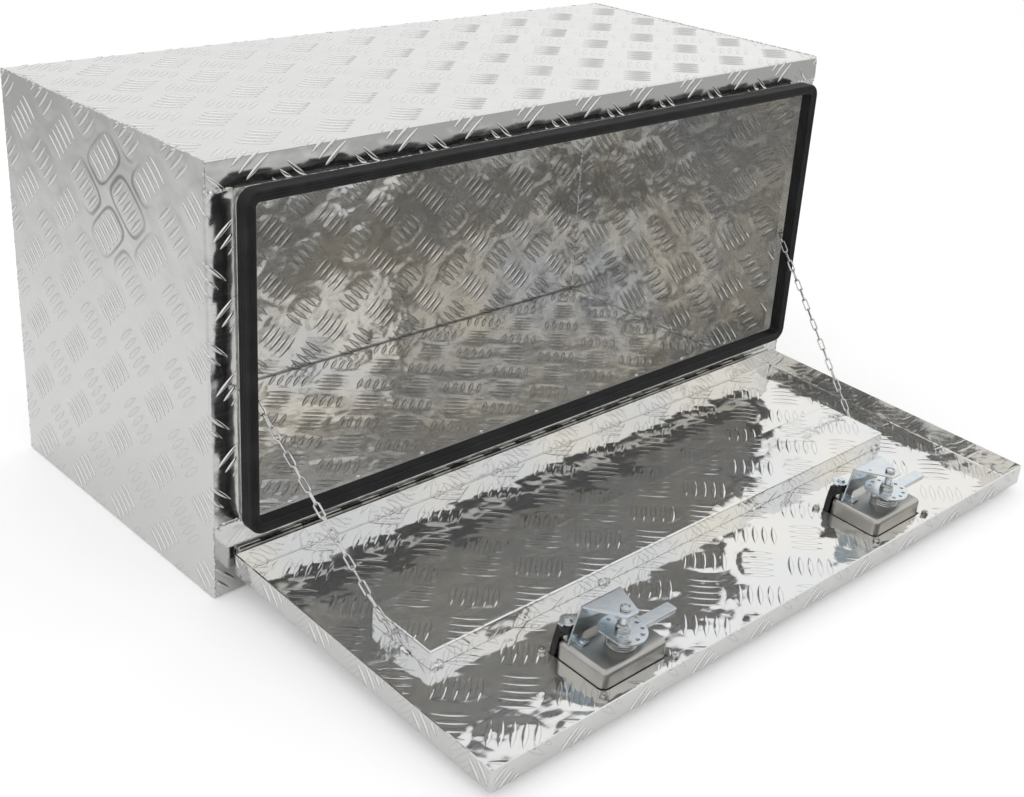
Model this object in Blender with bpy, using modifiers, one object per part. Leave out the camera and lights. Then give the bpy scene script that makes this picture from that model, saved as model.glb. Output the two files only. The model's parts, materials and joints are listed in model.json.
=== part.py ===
"""Drop-door tool box in folded aluminium plate, with two folding T-handle latches.

Units are metres, +Z is up, and -Y is the front. The origin is the centre of the box's
bottom face. The door is modelled closed, in a frame on its hinge pin, and that frame is
turned open to where the two chains stop it.
"""

import math

import bmesh
import bpy
from mathutils import Matrix, Vector

# Box
BOX_WIDTH = 0.9144
BOX_DEPTH = 0.4064
BOX_HEIGHT = 0.4572
SHEET = 0.0016
FOLD_RADIUS = 0.003
SEAT_GAP = 0.0003
CUT_OVERRUN = 0.004

# Front frame and its opening, whose sides and top keep their distance from the box's edges
HEADER_HEIGHT = 0.0305
SILL_HEIGHT = 0.082
STILE_WIDTH = 0.030
OPENING_SIDE_INSET = 0.0312
OPENING_BOTTOM = 0.078
OPENING_DROP = 0.0317
OPENING_RADIUS = 0.0165
LIP_PROUD = 0.0235

# Rubber door seal on the lip
SEAL_WIDTH = 0.0118
SEAL_FRONT = 0.027
SEAL_BACK = 0.0115
SEAL_CHAMFER = 0.002
SEAL_GROOVE = 0.0007
SEAL_GROOVE_COUNT = 4

# Piano hinge
HINGE_HEIGHT = 0.0485
HINGE_OFFSET = 0.0035
HINGE_END_INSET = 0.0076
HINGE_LEAF = 0.020
HINGE_LEAF_SHEET = 0.001
HINGE_RUN_GAP = 0.0005
KNUCKLE_COUNT = 34
KNUCKLE_GAP = 0.0006
KNUCKLE_END_ANGLE = math.radians(285)

# Door, whose sides and top keep their distance from the box's edges
DOOR_SIDE_INSET = 0.0196
DOOR_TOP_DROP = 0.0172
DOOR_DEPTH = 0.0254
DOOR_RADIUS = 0.003
DOOR_OPEN_ANGLE = math.radians(92.34)

# Stiffening channel inside the door, placed from the door's sides and top edge
STIFFENER_END_INSET = 0.0666
STIFFENER_SHIFT = -0.0045
STIFFENER_HEIGHT = 0.020
STIFFENER_DROP = 0.1545
STIFFENER_TALL = 0.089
STIFFENER_RADIUS = 0.002

# Chains
CHAIN_WIRE = 0.002
CHAIN_LINK_WIDTH = 0.0074
CHAIN_LINKS_UPPER = 9
CHAIN_LINKS_LOWER = 10
CHAIN_BITE = 0.0006
CHAIN_OPEN_GAP = 0.0006
CHAIN_SIDE_STEP = 0.0041
CHAIN_STUD_HEIGHT = 0.2245
CHAIN_STUD_Y_OFFSET = 0.0055
CHAIN_STUD_REACH = 0.0076
CHAIN_BOLT_RISE = 0.0375
CHAIN_BOLT_HEIGHT = 0.0125
CHAIN_BOLT_REACH = 0.0055
CHAIN_NECK_RADIUS = 0.0012
CHAIN_NECK_HALF = 0.0018
CHAIN_SHANK_RADIUS = 0.002
CHAIN_HEAD_RADIUS = 0.0032
CHAIN_HEAD_THICKNESS = 0.0014

# Latches: their places from the door's sides and top edge
LATCH_SIDE_INSET = 0.2158
LATCH_DROP = 0.0702

# Latch dish
DISH_WIDTH = 0.090
DISH_HEIGHT = 0.073
DISH_DEPTH = 0.020
DISH_SHEET = 0.0012
DISH_CORNER = 0.006
DISH_EDGE = 0.0035
FLANGE_WIDTH = 0.112
FLANGE_HEIGHT = 0.097
FLANGE_CORNER = 0.007
DOOR_CUT_GAP = 0.0006

# Latch corner screws
SCREW_SPACING_X = 0.099
SCREW_SPACING_UP = 0.0835
SCREW_RADIUS = 0.002
SCREW_HOLE_GAP = 0.0003
SCREW_HEAD_RADIUS = 0.0038
SCREW_HEAD_THICKNESS = 0.0016
SCREW_NUT_FLATS = 0.007
SCREW_NUT_THICKNESS = 0.0028
SCREW_WASHER_RADIUS = 0.0046
SCREW_WASHER_THICKNESS = 0.0008
SCREW_END = 0.0012

# Lock in the notched corner of the dish
LOCK_BLOCK_WIDTH = 0.0235
LOCK_BLOCK_HEIGHT = 0.020
LOCK_BLOCK_DEPTH = 0.030
LOCK_BLOCK_GAP = 0.0004
LOCK_BLOCK_EDGE = 0.0012
LOCK_COLLAR_RADIUS = 0.0082
LOCK_COLLAR_TOP = 0.0375
LOCK_PLUG_RADIUS = 0.0048
LOCK_PLUG_PROUD = 0.0008
LOCK_KEYWAY_WIDTH = 0.0012
LOCK_KEYWAY_LENGTH = 0.0062
LOCK_KEYWAY_DEPTH = 0.003
LOCK_CAM_RADIUS = 0.009
LOCK_CAM_THICKNESS = 0.0016
LOCK_CAM_TAB = 0.0125
LOCK_CAM_TAB_WIDTH = 0.007
LOCK_CAM_SCREW_FLATS = 0.0075
LOCK_CAM_SCREW_THICKNESS = 0.0026

# Latch shaft
SHAFT_UP = 0.0132
SHAFT_RADIUS = 0.004
SHAFT_RUN_GAP = 0.0003
SHAFT_TOP = 0.0622
TANG_HALF_WIDTH = 0.003
TANG_HALF_HEIGHT = 0.0048
TANG_END = 0.0042
PIVOT_HEIGHT = 0.009
PIVOT_RADIUS = 0.0016

# Folding T-handle
HANDLE_THICKNESS = 0.0085
HANDLE_REACH = 0.038
HANDLE_BAR_LENGTH = 0.038
HANDLE_BAR_WIDTH = 0.011
HANDLE_STEM_WIDTH = 0.0145
HANDLE_CROTCH = 0.008
HANDLE_EDGE = 0.0015
HANDLE_CORNER = 0.004

# Cam disc, blade and nuts on the shaft
DISC_LOW = 0.0350
DISC_SHEET = 0.0020
DISC_RADIUS = 0.0245
DISC_HOLE_RADIUS = 0.0020
DISC_HOLE_RING = 0.0190
DISC_HOLE_COUNT = 12
DISC_FLAT_SHARE = 0.80
BLADE_SHEET = 0.0015
BLADE_WIDTH = 0.0135
BLADE_DEPTH = 0.0051
BLADE_REACH = 0.0715
BLADE_TAIL = 0.0095
BLADE_FLANGE_START = 0.0215
NUT_FLATS = 0.013
NUT_THICKNESS = 0.0032
WASHER_RADIUS = 0.0078
WASHER_THICKNESS = 0.001
TOP_NUT_FLATS = 0.010
TOP_NUT_THICKNESS = 0.0028

# Bracket over the shaft
BRACKET_SHEET = 0.0018
BRACKET_UP = -0.0147
BRACKET_TOP = 0.0600
BRACKET_FOOT_LEFT = -0.043
BRACKET_TOP_LEFT = -0.031
BRACKET_RIGHT = 0.027
BRACKET_NOSE_HALF = 0.0085
BRACKET_NOSE_UP = 0.0235
BRACKET_ARCH_LEFT = -0.024
BRACKET_ARCH_RIGHT = 0.011
BRACKET_ARCH_TOP = 0.0275
BRACKET_CORNER = 0.003
FOOT_TAB_WIDTH = 0.0105
FOOT_TAB_LENGTH = 0.0095
FOOT_TAB_LEFT_X = -0.0295
FOOT_TAB_RIGHT_X = 0.0215

# Return spring round the shaft
SPRING_WIRE = 0.0018
SPRING_RADIUS = 0.0150
SPRING_TURNS = 2.6
SPRING_POINTS_PER_TURN = 10
SPRING_TOP_CLEARANCE = 0.0012

# Facets and shading
ROUND_SIDES = 20
SMALL_SIDES = 10
FILLET_STEPS = 3
FOLD_STEPS = 2
ARC_STEP = math.radians(36)
LINK_HALF_STEPS = 3
SHARP_ANGLE = math.radians(35)
FOLD_ANGLE = math.radians(40)
OUTLINE_ANGLE = math.radians(60)
HALF_FLAT_ANGLE = math.radians(30)
LONGEST_FILLET_SHARE = 0.45
FACING_SHARE = 0.5
LEAST_SPRING_GAP = 0.0004
WELD_DISTANCE = 1e-6

# Derived places of the box and the front frame
HALF_WIDTH = BOX_WIDTH / 2
FRONT = -BOX_DEPTH / 2
BACK = BOX_DEPTH / 2
OPENING_WIDTH = BOX_WIDTH - 2 * OPENING_SIDE_INSET
OPENING_TOP = BOX_HEIGHT - OPENING_DROP
OPENING_HEIGHT = OPENING_TOP - OPENING_BOTTOM
OPENING_MIDDLE = (OPENING_TOP + OPENING_BOTTOM) / 2
LIP_OUTER_HALF = OPENING_WIDTH / 2 - SEAT_GAP
LIP_INNER_HALF = LIP_OUTER_HALF - SHEET
LIP_CENTRE_INSET = SEAT_GAP + SHEET / 2
SIDE_INNER = HALF_WIDTH - SHEET - SEAT_GAP

# Derived places of the door, in the frame on the hinge pin with the door closed
HINGE_Y = FRONT - HINGE_OFFSET
KNUCKLE_RADIUS = HINGE_OFFSET - SEAT_GAP
DOOR_WIDTH = BOX_WIDTH - 2 * DOOR_SIDE_INSET
DOOR_BOTTOM = KNUCKLE_RADIUS + SEAT_GAP
DOOR_TOP = BOX_HEIGHT - DOOR_TOP_DROP - HINGE_HEIGHT
HINGE_LENGTH = DOOR_WIDTH - 2 * HINGE_END_INSET
PANEL_OUTER = -DOOR_DEPTH
PANEL_INNER = PANEL_OUTER + SHEET
STIFFENER_HALF = DOOR_WIDTH / 2 - STIFFENER_END_INSET
STIFFENER_HIGH = DOOR_TOP - STIFFENER_DROP
STIFFENER_LOW = STIFFENER_HIGH - STIFFENER_TALL
LATCH_X = DOOR_WIDTH / 2 - LATCH_SIDE_INSET
LATCH_UP = DOOR_TOP - LATCH_DROP

# Derived levels of the latch, measured inwards from the door's inner panel face
FLANGE_INNER = -SHEET - SEAT_GAP
FLANGE_OUTER = FLANGE_INNER - DISH_SHEET
DISH_TOP = DISH_DEPTH
DISC_HIGH = DISC_LOW + DISC_SHEET
BLADE_HIGH = DISC_LOW - SEAT_GAP
BLADE_LOW = BLADE_HIGH - BLADE_DEPTH
NUTS_LOW = DISC_HIGH + SEAT_GAP
TOP_NUT_LOW = BRACKET_TOP + SEAT_GAP
LOCK_X = -DISH_WIDTH / 2 + LOCK_BLOCK_WIDTH / 2
LOCK_UP = -DISH_HEIGHT / 2 + LOCK_BLOCK_HEIGHT / 2
LOCK_CAM_LOW = LOCK_COLLAR_TOP + SEAT_GAP

PARTS = bpy.data.collections.new("drop_door_tool_box")
CUTTERS = bpy.data.collections.new("cutters")

# Finishes: colour, metallic value and roughness
FINISHES = {
    "plate_outside": ((0.86, 0.87, 0.88, 1.0), 1.0, 0.30),
    "plate_inside": ((0.78, 0.78, 0.77, 1.0), 1.0, 0.14),
    "seal_rubber": ((0.025, 0.026, 0.028, 1.0), 0.0, 0.55),
    "hinge_steel": ((0.72, 0.72, 0.72, 1.0), 1.0, 0.28),
    "chain_steel": ((0.80, 0.80, 0.79, 1.0), 1.0, 0.22),
    "dish_steel": ((0.60, 0.58, 0.55, 1.0), 1.0, 0.32),
    "zinc_plate": ((0.66, 0.72, 0.77, 1.0), 1.0, 0.26),
    "spring_steel": ((0.62, 0.62, 0.60, 1.0), 1.0, 0.25),
    "lock_black": ((0.03, 0.03, 0.03, 1.0), 0.0, 0.42),
}


def material(finish):
    """The finish's Principled material, made once."""
    found = bpy.data.materials.get(finish)
    if found:
        return found
    colour, metallic, roughness = FINISHES[finish]
    made = bpy.data.materials.new(finish)
    made.use_nodes = True
    shader = made.node_tree.nodes["Principled BSDF"]
    shader.inputs["Base Color"].default_value = colour
    shader.inputs["Metallic"].default_value = metallic
    shader.inputs["Roughness"].default_value = roughness
    made.diffuse_color = colour
    return made


def clear_scene():
    """Removes what the file opened with, and links the two collections."""
    for obj in list(bpy.data.objects):
        bpy.data.objects.remove(obj, do_unlink=True)
    bpy.context.scene.collection.children.link(PARTS)
    bpy.context.scene.collection.children.link(CUTTERS)


def object_from(bm, name, parent, finish):
    """An object of the bmesh: a part when it has a finish, and a hidden helper when it has none."""
    bm.normal_update()
    bmesh.ops.recalc_face_normals(bm, faces=bm.faces)
    mesh = bpy.data.meshes.new(name)
    bm.to_mesh(mesh)
    bm.free()
    obj = bpy.data.objects.new(name, mesh)
    obj.parent = parent
    if finish:
        mesh.materials.append(material(finish))
        mesh.shade_smooth()
        mesh.set_sharp_from_angle(angle=SHARP_ANGLE)
        PARTS.objects.link(obj)
    else:
        obj.hide_render = True
        obj.display_type = "WIRE"
        CUTTERS.objects.link(obj)
    return obj


def frame_at(name, place, parent=None, turn_x=0.0):
    """An empty that carries a moving group, on its joint's axis."""
    empty = bpy.data.objects.new(name, None)
    empty.location = place
    empty.rotation_euler = (turn_x, 0.0, 0.0)
    empty.parent = parent
    PARTS.objects.link(empty)
    return empty


def boolean(obj, operation, others):
    """Cuts the helpers from the object, or joins them to it."""
    for other in others:
        modifier = obj.modifiers.new(f"{operation.lower()}_{other.name}", "BOOLEAN")
        modifier.operation = operation
        modifier.solver = "EXACT"
        modifier.object = other
    return obj


def cut(obj, *others):
    return boolean(obj, "DIFFERENCE", others)


def join(obj, *others):
    return boolean(obj, "UNION", others)


def add_bevel(obj, width, steps, limit=FOLD_ANGLE):
    """Rounds the edges sharper than the limit."""
    modifier = obj.modifiers.new("rounding", "BEVEL")
    modifier.width = width
    modifier.segments = steps
    modifier.limit_method = "ANGLE"
    modifier.angle_limit = limit
    modifier.use_clamp_overlap = True
    return obj


def add_wall(obj, thickness):
    """Thickens an open surface inwards."""
    modifier = obj.modifiers.new("wall", "SOLIDIFY")
    modifier.thickness = thickness
    modifier.offset = -1.0
    modifier.use_even_offset = True
    return obj


def circle(radius, centre=(0.0, 0.0), sides=ROUND_SIDES):
    """Points round a circle."""
    steps = [math.tau * n / sides for n in range(sides)]
    return [(centre[0] + radius * math.cos(a), centre[1] + radius * math.sin(a)) for a in steps]


def hexagon(flats, centre=(0.0, 0.0), turn=0.0):
    """A nut's outline from its width across flats."""
    radius = flats / math.sqrt(3)
    angles = [turn + math.tau * n / 6 for n in range(6)]
    return [(centre[0] + radius * math.cos(a), centre[1] + radius * math.sin(a)) for a in angles]


def filleted(corners, radius):
    """The outline with an arc of the same radius at each corner."""
    return arced(corners, [radius] * len(corners))


def arced(corners, radii):
    """The outline with an arc of its own radius at each corner, whichever way the corner turns."""
    points = []
    count = len(corners)
    for n, (corner, radius) in enumerate(zip(corners, radii)):
        here = Vector(corner)
        to_last = Vector(corners[n - 1]) - here
        to_next = Vector(corners[(n + 1) % count]) - here
        half = to_last.angle(to_next) / 2
        longest = LONGEST_FILLET_SHARE * min(to_last.length, to_next.length)
        reach = min(radius / math.tan(half), longest)
        start = here + to_last.normalized() * reach
        end = here + to_next.normalized() * reach
        centre = here + (to_last.normalized() + to_next.normalized()).normalized() * (reach / math.cos(half))
        for step in range(FILLET_STEPS + 1):
            ray = (start - centre).slerp(end - centre, step / FILLET_STEPS)
            points.append(tuple(centre + ray * (start - centre).length))
    return points


def rectangle(width, height, radius, centre=(0.0, 0.0)):
    """A rectangle with rounded corners."""
    x, y = width / 2, height / 2
    corners = [(-x, -y), (x, -y), (x, y), (-x, y)]
    corners = [(a + centre[0], b + centre[1]) for a, b in corners]
    return filleted(corners, radius) if radius > 0 else corners


def onto(plane, across, up, through):
    """The point of a flat outline on the named plane, with its depth along the third axis."""
    places = {
        "XY": (across, up, through),
        "XZ": (across, through, up),
        "YZ": (through, across, up),
    }
    return places[plane]


def plate(name, outlines, low, high, plane, parent, finish=None):
    """A flat outline, with the further ones as holes in it, extruded from low to high."""
    curve = bpy.data.curves.new(name, "CURVE")
    curve.dimensions = "2D"
    curve.fill_mode = "BOTH"
    curve.extrude = (high - low) / 2
    for outline in outlines:
        spline = curve.splines.new("POLY")
        spline.points.add(len(outline) - 1)
        for point, (across, up) in zip(spline.points, outline):
            point.co = (across, up, 0.0, 1.0)
        spline.use_cyclic_u = True
    bm = mesh_of_curve(name, curve)
    middle = (high + low) / 2
    for vert in bm.verts:
        vert.co = onto(plane, vert.co.x, vert.co.y, vert.co.z + middle)
    return object_from(bm, name, parent, finish)


def mesh_of_curve(name, curve):
    """The curve's surface as a bmesh with its caps welded on."""
    guide = bpy.data.objects.new(name + "_guide", curve)
    CUTTERS.objects.link(guide)
    bpy.context.view_layer.update()
    graph = bpy.context.evaluated_depsgraph_get()
    mesh = bpy.data.meshes.new_from_object(guide.evaluated_get(graph))
    bm = bmesh.new()
    bm.from_mesh(mesh)
    bmesh.ops.remove_doubles(bm, verts=bm.verts, dist=WELD_DISTANCE)
    bpy.data.objects.remove(guide, do_unlink=True)
    bpy.data.curves.remove(curve)
    bpy.data.meshes.remove(mesh)
    return bm


def wire(points, radius, closed, facets):
    """A round wire along the points, as a bmesh."""
    curve = bpy.data.curves.new("wire", "CURVE")
    curve.dimensions = "3D"
    curve.bevel_depth = radius
    curve.bevel_resolution = facets
    curve.use_fill_caps = not closed
    spline = curve.splines.new("POLY")
    spline.points.add(len(points) - 1)
    for target, point in zip(spline.points, points):
        target.co = (*point, 1.0)
    spline.use_cyclic_u = closed
    return mesh_of_curve("wire", curve)


def rod(name, radius, start, end, parent, finish=None, sides=ROUND_SIDES):
    """A cylinder between two points."""
    start, end = Vector(start), Vector(end)
    bm = bmesh.new()
    bmesh.ops.create_cone(
        bm,
        cap_ends=True,
        segments=sides,
        radius1=radius,
        radius2=radius,
        depth=(end - start).length,
    )
    turn = Vector((0.0, 0.0, 1.0)).rotation_difference(end - start).to_matrix().to_4x4()
    bm.transform(Matrix.Translation((start + end) / 2) @ turn)
    return object_from(bm, name, parent, finish)


def post(name, radius, place, low, high, parent, finish=None, sides=SMALL_SIDES):
    """A cylinder square to the door's panel, at a place across and up."""
    x, up = place
    return rod(name, radius, (x, low, up), (x, high, up), parent, finish, sides)


def cuboid(low, high):
    """A box between two corners, as a bmesh."""
    bm = bmesh.new()
    bmesh.ops.create_cube(bm, size=1.0)
    for vert in bm.verts:
        vert.co = [(l + h) / 2 + c * (h - l) for l, h, c in zip(low, high, vert.co)]
    return bm


def block(name, low, high, parent, finish=None):
    """A solid box between two corners."""
    return object_from(cuboid(low, high), name, parent, finish)


def tray(name, low, high, open_towards, radius, parent, finish):
    """A five-sided sheet tray, open towards the given direction."""
    bm = cuboid(low, high)
    bm.normal_update()
    gone = [face for face in bm.faces if face.normal.dot(open_towards) > FACING_SHARE]
    bmesh.ops.delete(bm, geom=gone, context="FACES_ONLY")
    obj = object_from(bm, name, parent, finish)
    add_bevel(obj, radius, FOLD_STEPS)
    return add_wall(obj, SHEET)


def ring_band(bm, lower, upper):
    """Faces between two rings of as many points."""
    for n in range(len(lower)):
        bm.faces.new((lower[n - 1], lower[n], upper[n], upper[n - 1]))


def folded_sheet(name, profile, low, high, plane, finish):
    """A sheet folded along the profile, which runs with the sheet's outside on its left."""
    bm = bmesh.new()
    near = [bm.verts.new(onto(plane, across, up, low)) for across, up in profile]
    far = [bm.verts.new(onto(plane, across, up, high)) for across, up in profile]
    for n in range(len(profile) - 1):
        bm.faces.new((far[n], far[n + 1], near[n + 1], near[n]))
    mesh = bpy.data.meshes.new(name)
    bm.to_mesh(mesh)
    bm.free()
    mesh.materials.append(material(finish))
    obj = bpy.data.objects.new(name, mesh)
    PARTS.objects.link(obj)
    add_bevel(obj, FOLD_RADIUS, FOLD_STEPS)
    return add_wall(obj, SHEET)


def opening_outline(inset):
    """The front opening's outline across and up, drawn in by the inset."""
    return rectangle(
        OPENING_WIDTH - 2 * inset,
        OPENING_HEIGHT - 2 * inset,
        max(OPENING_RADIUS - inset, SHEET),
        (0.0, OPENING_MIDDLE),
    )


def opening_cutter(name):
    """The hole through the header, the sill and the stiles."""
    low, high = FRONT - CUT_OVERRUN, FRONT + SHEET + CUT_OVERRUN
    return plate(name, [opening_outline(0.0)], low, high, "XZ", None)


def body_wrap():
    """One sheet folded round the top, the back and the bottom, with the header and the sill."""
    profile = [
        (FRONT, BOX_HEIGHT - HEADER_HEIGHT),
        (FRONT, BOX_HEIGHT),
        (BACK, BOX_HEIGHT),
        (BACK, 0.0),
        (FRONT, 0.0),
        (FRONT, SILL_HEIGHT),
    ]
    wrap = folded_sheet("body_wrap", profile, -SIDE_INNER, SIDE_INNER, "YZ", "plate_outside")
    return cut(wrap, opening_cutter("wrap_opening"))


def side_panel(side, hand):
    """An end of the box, whose front edge is folded in as a stile between sill and header."""
    outer = hand * HALF_WIDTH
    inner = hand * (HALF_WIDTH - STILE_WIDTH)
    profile = [(inner, FRONT), (outer, FRONT), (outer, BACK)]
    if hand > 0:
        profile = profile[::-1]
    panel = folded_sheet(f"side_panel_{side}", profile, 0.0, BOX_HEIGHT, "XY", "plate_outside")
    reach = HALF_WIDTH - STILE_WIDTH - CUT_OVERRUN
    cut_x = sorted((hand * SIDE_INNER, hand * reach))
    cutters = [opening_cutter(f"{side}_opening")]
    spans = {
        "header": (BOX_HEIGHT - HEADER_HEIGHT - SEAT_GAP, BOX_HEIGHT + CUT_OVERRUN),
        "sill": (-CUT_OVERRUN, SILL_HEIGHT + SEAT_GAP),
    }
    for where, (low, high) in spans.items():
        start = (cut_x[0] - (SEAT_GAP if hand < 0 else 0.0), FRONT - CUT_OVERRUN, low)
        end = (cut_x[1] + (SEAT_GAP if hand > 0 else 0.0), FRONT + SHEET + CUT_OVERRUN, high)
        cutters.append(block(f"{side}_{where}_relief", start, end, None))
    return cut(panel, *cutters)


def opening_lip():
    """The strip welded round the opening, standing forward to carry the seal."""
    outlines = [opening_outline(SEAT_GAP), opening_outline(SEAT_GAP + SHEET)]
    back = FRONT + SHEET
    lip = plate("opening_lip", outlines, FRONT - LIP_PROUD, back, "XZ", None, "plate_inside")
    holes = []
    for side, hand in (("left", -1), ("right", 1)):
        centre = chain_stud_point(hand)
        start = Vector((hand * (LIP_INNER_HALF - CUT_OVERRUN), centre.y, centre.z))
        end = Vector((hand * (LIP_OUTER_HALF + CUT_OVERRUN), centre.y, centre.z))
        radius = CHAIN_SHANK_RADIUS + SEAT_GAP
        holes.append(rod(f"lip_hole_{side}", radius, start, end, None, sides=SMALL_SIDES))
    return cut(lip, *holes)


def seal_section():
    """The seal's section: across from the lip's middle, positive outwards, and how far forward."""
    half, slot = SEAL_WIDTH / 2, SHEET / 2 + SEAT_GAP
    shoulder = SEAL_FRONT - SEAL_CHAMFER
    points = [(half, SEAL_BACK), (half, shoulder), (half - SEAL_CHAMFER, SEAL_FRONT)]
    points += [(SEAL_CHAMFER - half, SEAL_FRONT), (-half, shoulder)]
    pitch = (shoulder - SEAL_BACK) / SEAL_GROOVE_COUNT
    for n in range(SEAL_GROOVE_COUNT):
        middle = shoulder - (n + 0.5) * pitch
        points.append((-half, middle + SEAL_GROOVE))
        points.append((SEAL_GROOVE - half, middle))
        points.append((-half, middle - SEAL_GROOVE))
    points += [(-half, SEAL_BACK), (-slot, SEAL_BACK), (-slot, LIP_PROUD + SEAT_GAP)]
    points += [(slot, LIP_PROUD + SEAT_GAP), (slot, SEAL_BACK)]
    return points


def door_seal():
    """The rubber strip pressed over the lip: its section carried round the opening."""
    bm = bmesh.new()
    rings = []
    for across, forward in seal_section():
        outline = opening_outline(LIP_CENTRE_INSET - across)
        rings.append([bm.verts.new((x, FRONT - forward, up)) for x, up in outline])
    for last, ring in zip(rings[-1:] + rings[:-1], rings):
        ring_band(bm, last, ring)
    object_from(bm, "door_seal", None, "seal_rubber")


def rolled_leaf_outline():
    """A hinge leaf end on: flat at +radius, rolled over the pin to the end angle, and back inside."""
    outer = KNUCKLE_RADIUS
    inner = KNUCKLE_RADIUS - HINGE_LEAF_SHEET
    steps = math.ceil(KNUCKLE_END_ANGLE / ARC_STEP)
    angles = [KNUCKLE_END_ANGLE * n / steps for n in range(steps + 1)]
    points = [(outer, -HINGE_LEAF)]
    points += [(outer * math.cos(a), outer * math.sin(a)) for a in angles]
    points += [(inner * math.cos(a), inner * math.sin(a)) for a in reversed(angles)]
    points.append((inner, -HINGE_LEAF))
    return points


def knuckle_gaps(name, first, parent):
    """Boxes round the pin where the other leaf's knuckles run."""
    pitch = HINGE_LENGTH / KNUCKLE_COUNT
    reach = KNUCKLE_RADIUS + HINGE_RUN_GAP
    bm = bmesh.new()
    for n in range(first, KNUCKLE_COUNT, 2):
        middle = -HINGE_LENGTH / 2 + (n + 0.5) * pitch
        width = pitch + KNUCKLE_GAP
        made = bmesh.ops.create_cube(bm, size=1.0)["verts"]
        for vert in made:
            vert.co = (middle + vert.co.x * width, vert.co.y * 2 * reach, vert.co.z * 2 * reach)
    return object_from(bm, name, parent, None)


def hinge(door_frame):
    """The piano hinge: a leaf on the sill, a leaf on the door's bottom edge, and the pin."""
    half = HINGE_LENGTH / 2
    pin_frame = frame_at("hinge_on_body", (0.0, HINGE_Y, HINGE_HEIGHT))
    outline = rolled_leaf_outline()
    body_leaf = plate(
        "hinge_body_leaf", [outline], -half, half, "YZ", pin_frame, "hinge_steel"
    )
    cut(body_leaf, knuckle_gaps("body_leaf_gaps", 1, pin_frame))
    turned = [(up, across) for across, up in outline]
    door_leaf = plate("hinge_door_leaf", [turned], -half, half, "YZ", door_frame, "hinge_steel")
    cut(door_leaf, knuckle_gaps("door_leaf_gaps", 0, door_frame))
    radius = KNUCKLE_RADIUS - HINGE_LEAF_SHEET - SEAT_GAP
    rod("hinge_pin", radius, (-half, 0, 0), (half, 0, 0), pin_frame, "hinge_steel", SMALL_SIDES)


def dish_outline(inset):
    """The latch dish across and up, with the corner left out where the lock stands."""
    left, right = -DISH_WIDTH / 2 + inset, DISH_WIDTH / 2 - inset
    low, high = -DISH_HEIGHT / 2 + inset, DISH_HEIGHT / 2 - inset
    notch_x = -DISH_WIDTH / 2 + LOCK_BLOCK_WIDTH + LOCK_BLOCK_GAP + inset
    notch_up = -DISH_HEIGHT / 2 + LOCK_BLOCK_HEIGHT + LOCK_BLOCK_GAP + inset
    corners = [
        (notch_x, notch_up),
        (notch_x, low),
        (right, low),
        (right, high),
        (left, high),
        (left, notch_up),
    ]
    outer = DISH_CORNER - inset
    return arced(corners, [LOCK_BLOCK_EDGE + inset] + [outer] * (len(corners) - 1))


def window_outline(hand):
    """The hole in the door for a latch, with a tight corner round the lock."""
    across, up = DISH_WIDTH / 2 + DOOR_CUT_GAP, DISH_HEIGHT / 2 + DOOR_CUT_GAP
    corners = [(-across, -up), (across, -up), (across, up), (-across, up)]
    outer = DISH_CORNER + DOOR_CUT_GAP
    outline = arced(corners, [LOCK_BLOCK_EDGE] + [outer] * (len(corners) - 1))
    return [(x + hand * LATCH_X, up + LATCH_UP) for x, up in outline]


def screw_places():
    """The four corner screws of a latch, across and up."""
    across, up = SCREW_SPACING_X / 2, SCREW_SPACING_UP / 2
    return [(-across, -up), (across, -up), (across, up), (-across, up)]


def door_pan(door_frame):
    """The door: a tray whose rim faces the box, cut for the two latches."""
    half = DOOR_WIDTH / 2
    low, high = (-half, PANEL_OUTER, DOOR_BOTTOM), (half, 0.0, DOOR_TOP)
    pan = tray("door_pan", low, high, Vector((0, 1, 0)), DOOR_RADIUS, door_frame, "plate_outside")
    start, end = PANEL_OUTER - CUT_OVERRUN, PANEL_INNER + CUT_OVERRUN
    for side, hand in (("left", -1), ("right", 1)):
        centre = (hand * LATCH_X, LATCH_UP)
        cut(pan, plate(f"window_{side}", [window_outline(hand)], start, end, "XZ", door_frame))
        for n, (x, up) in enumerate(screw_places()):
            place = (centre[0] + x, centre[1] + up)
            radius = SCREW_RADIUS + SCREW_HOLE_GAP
            cut(pan, post(f"door_screw_hole_{side}_{n}", radius, place, start, end, door_frame))


def door_stiffener(door_frame):
    """The shallow channel welded across the inside of the door, with a hole in each end."""
    foot = PANEL_INNER + SEAT_GAP
    low = (STIFFENER_SHIFT - STIFFENER_HALF, foot, STIFFENER_LOW)
    high = (STIFFENER_SHIFT + STIFFENER_HALF, PANEL_INNER + STIFFENER_HEIGHT, STIFFENER_HIGH)
    channel = tray(
        "door_stiffener",
        low,
        high,
        Vector((0, -1, 0)),
        STIFFENER_RADIUS,
        door_frame,
        "plate_inside",
    )
    for side, hand in (("left", -1), ("right", 1)):
        point = chain_bolt_place(hand)
        start = point - Vector((hand * (CHAIN_BOLT_REACH + SHEET + CUT_OVERRUN), 0, 0))
        radius = CHAIN_SHANK_RADIUS + SEAT_GAP
        hole = rod(f"stiffener_hole_{side}", radius, start, point, door_frame, sides=SMALL_SIDES)
        cut(channel, hole)


def chain_stud_point(hand):
    """Where the upper end of a chain turns on its stud, in the box's frame."""
    return Vector(
        (
            hand * (LIP_INNER_HALF - CHAIN_STUD_REACH),
            FRONT - CHAIN_STUD_Y_OFFSET,
            CHAIN_STUD_HEIGHT,
        )
    )


def chain_bolt_place(hand):
    """Where the lower end of a chain turns on its bolt, in the closed door's frame."""
    across = STIFFENER_SHIFT + hand * (STIFFENER_HALF + CHAIN_BOLT_REACH)
    return Vector((across, PANEL_INNER + CHAIN_BOLT_HEIGHT, STIFFENER_LOW + CHAIN_BOLT_RISE))


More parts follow.
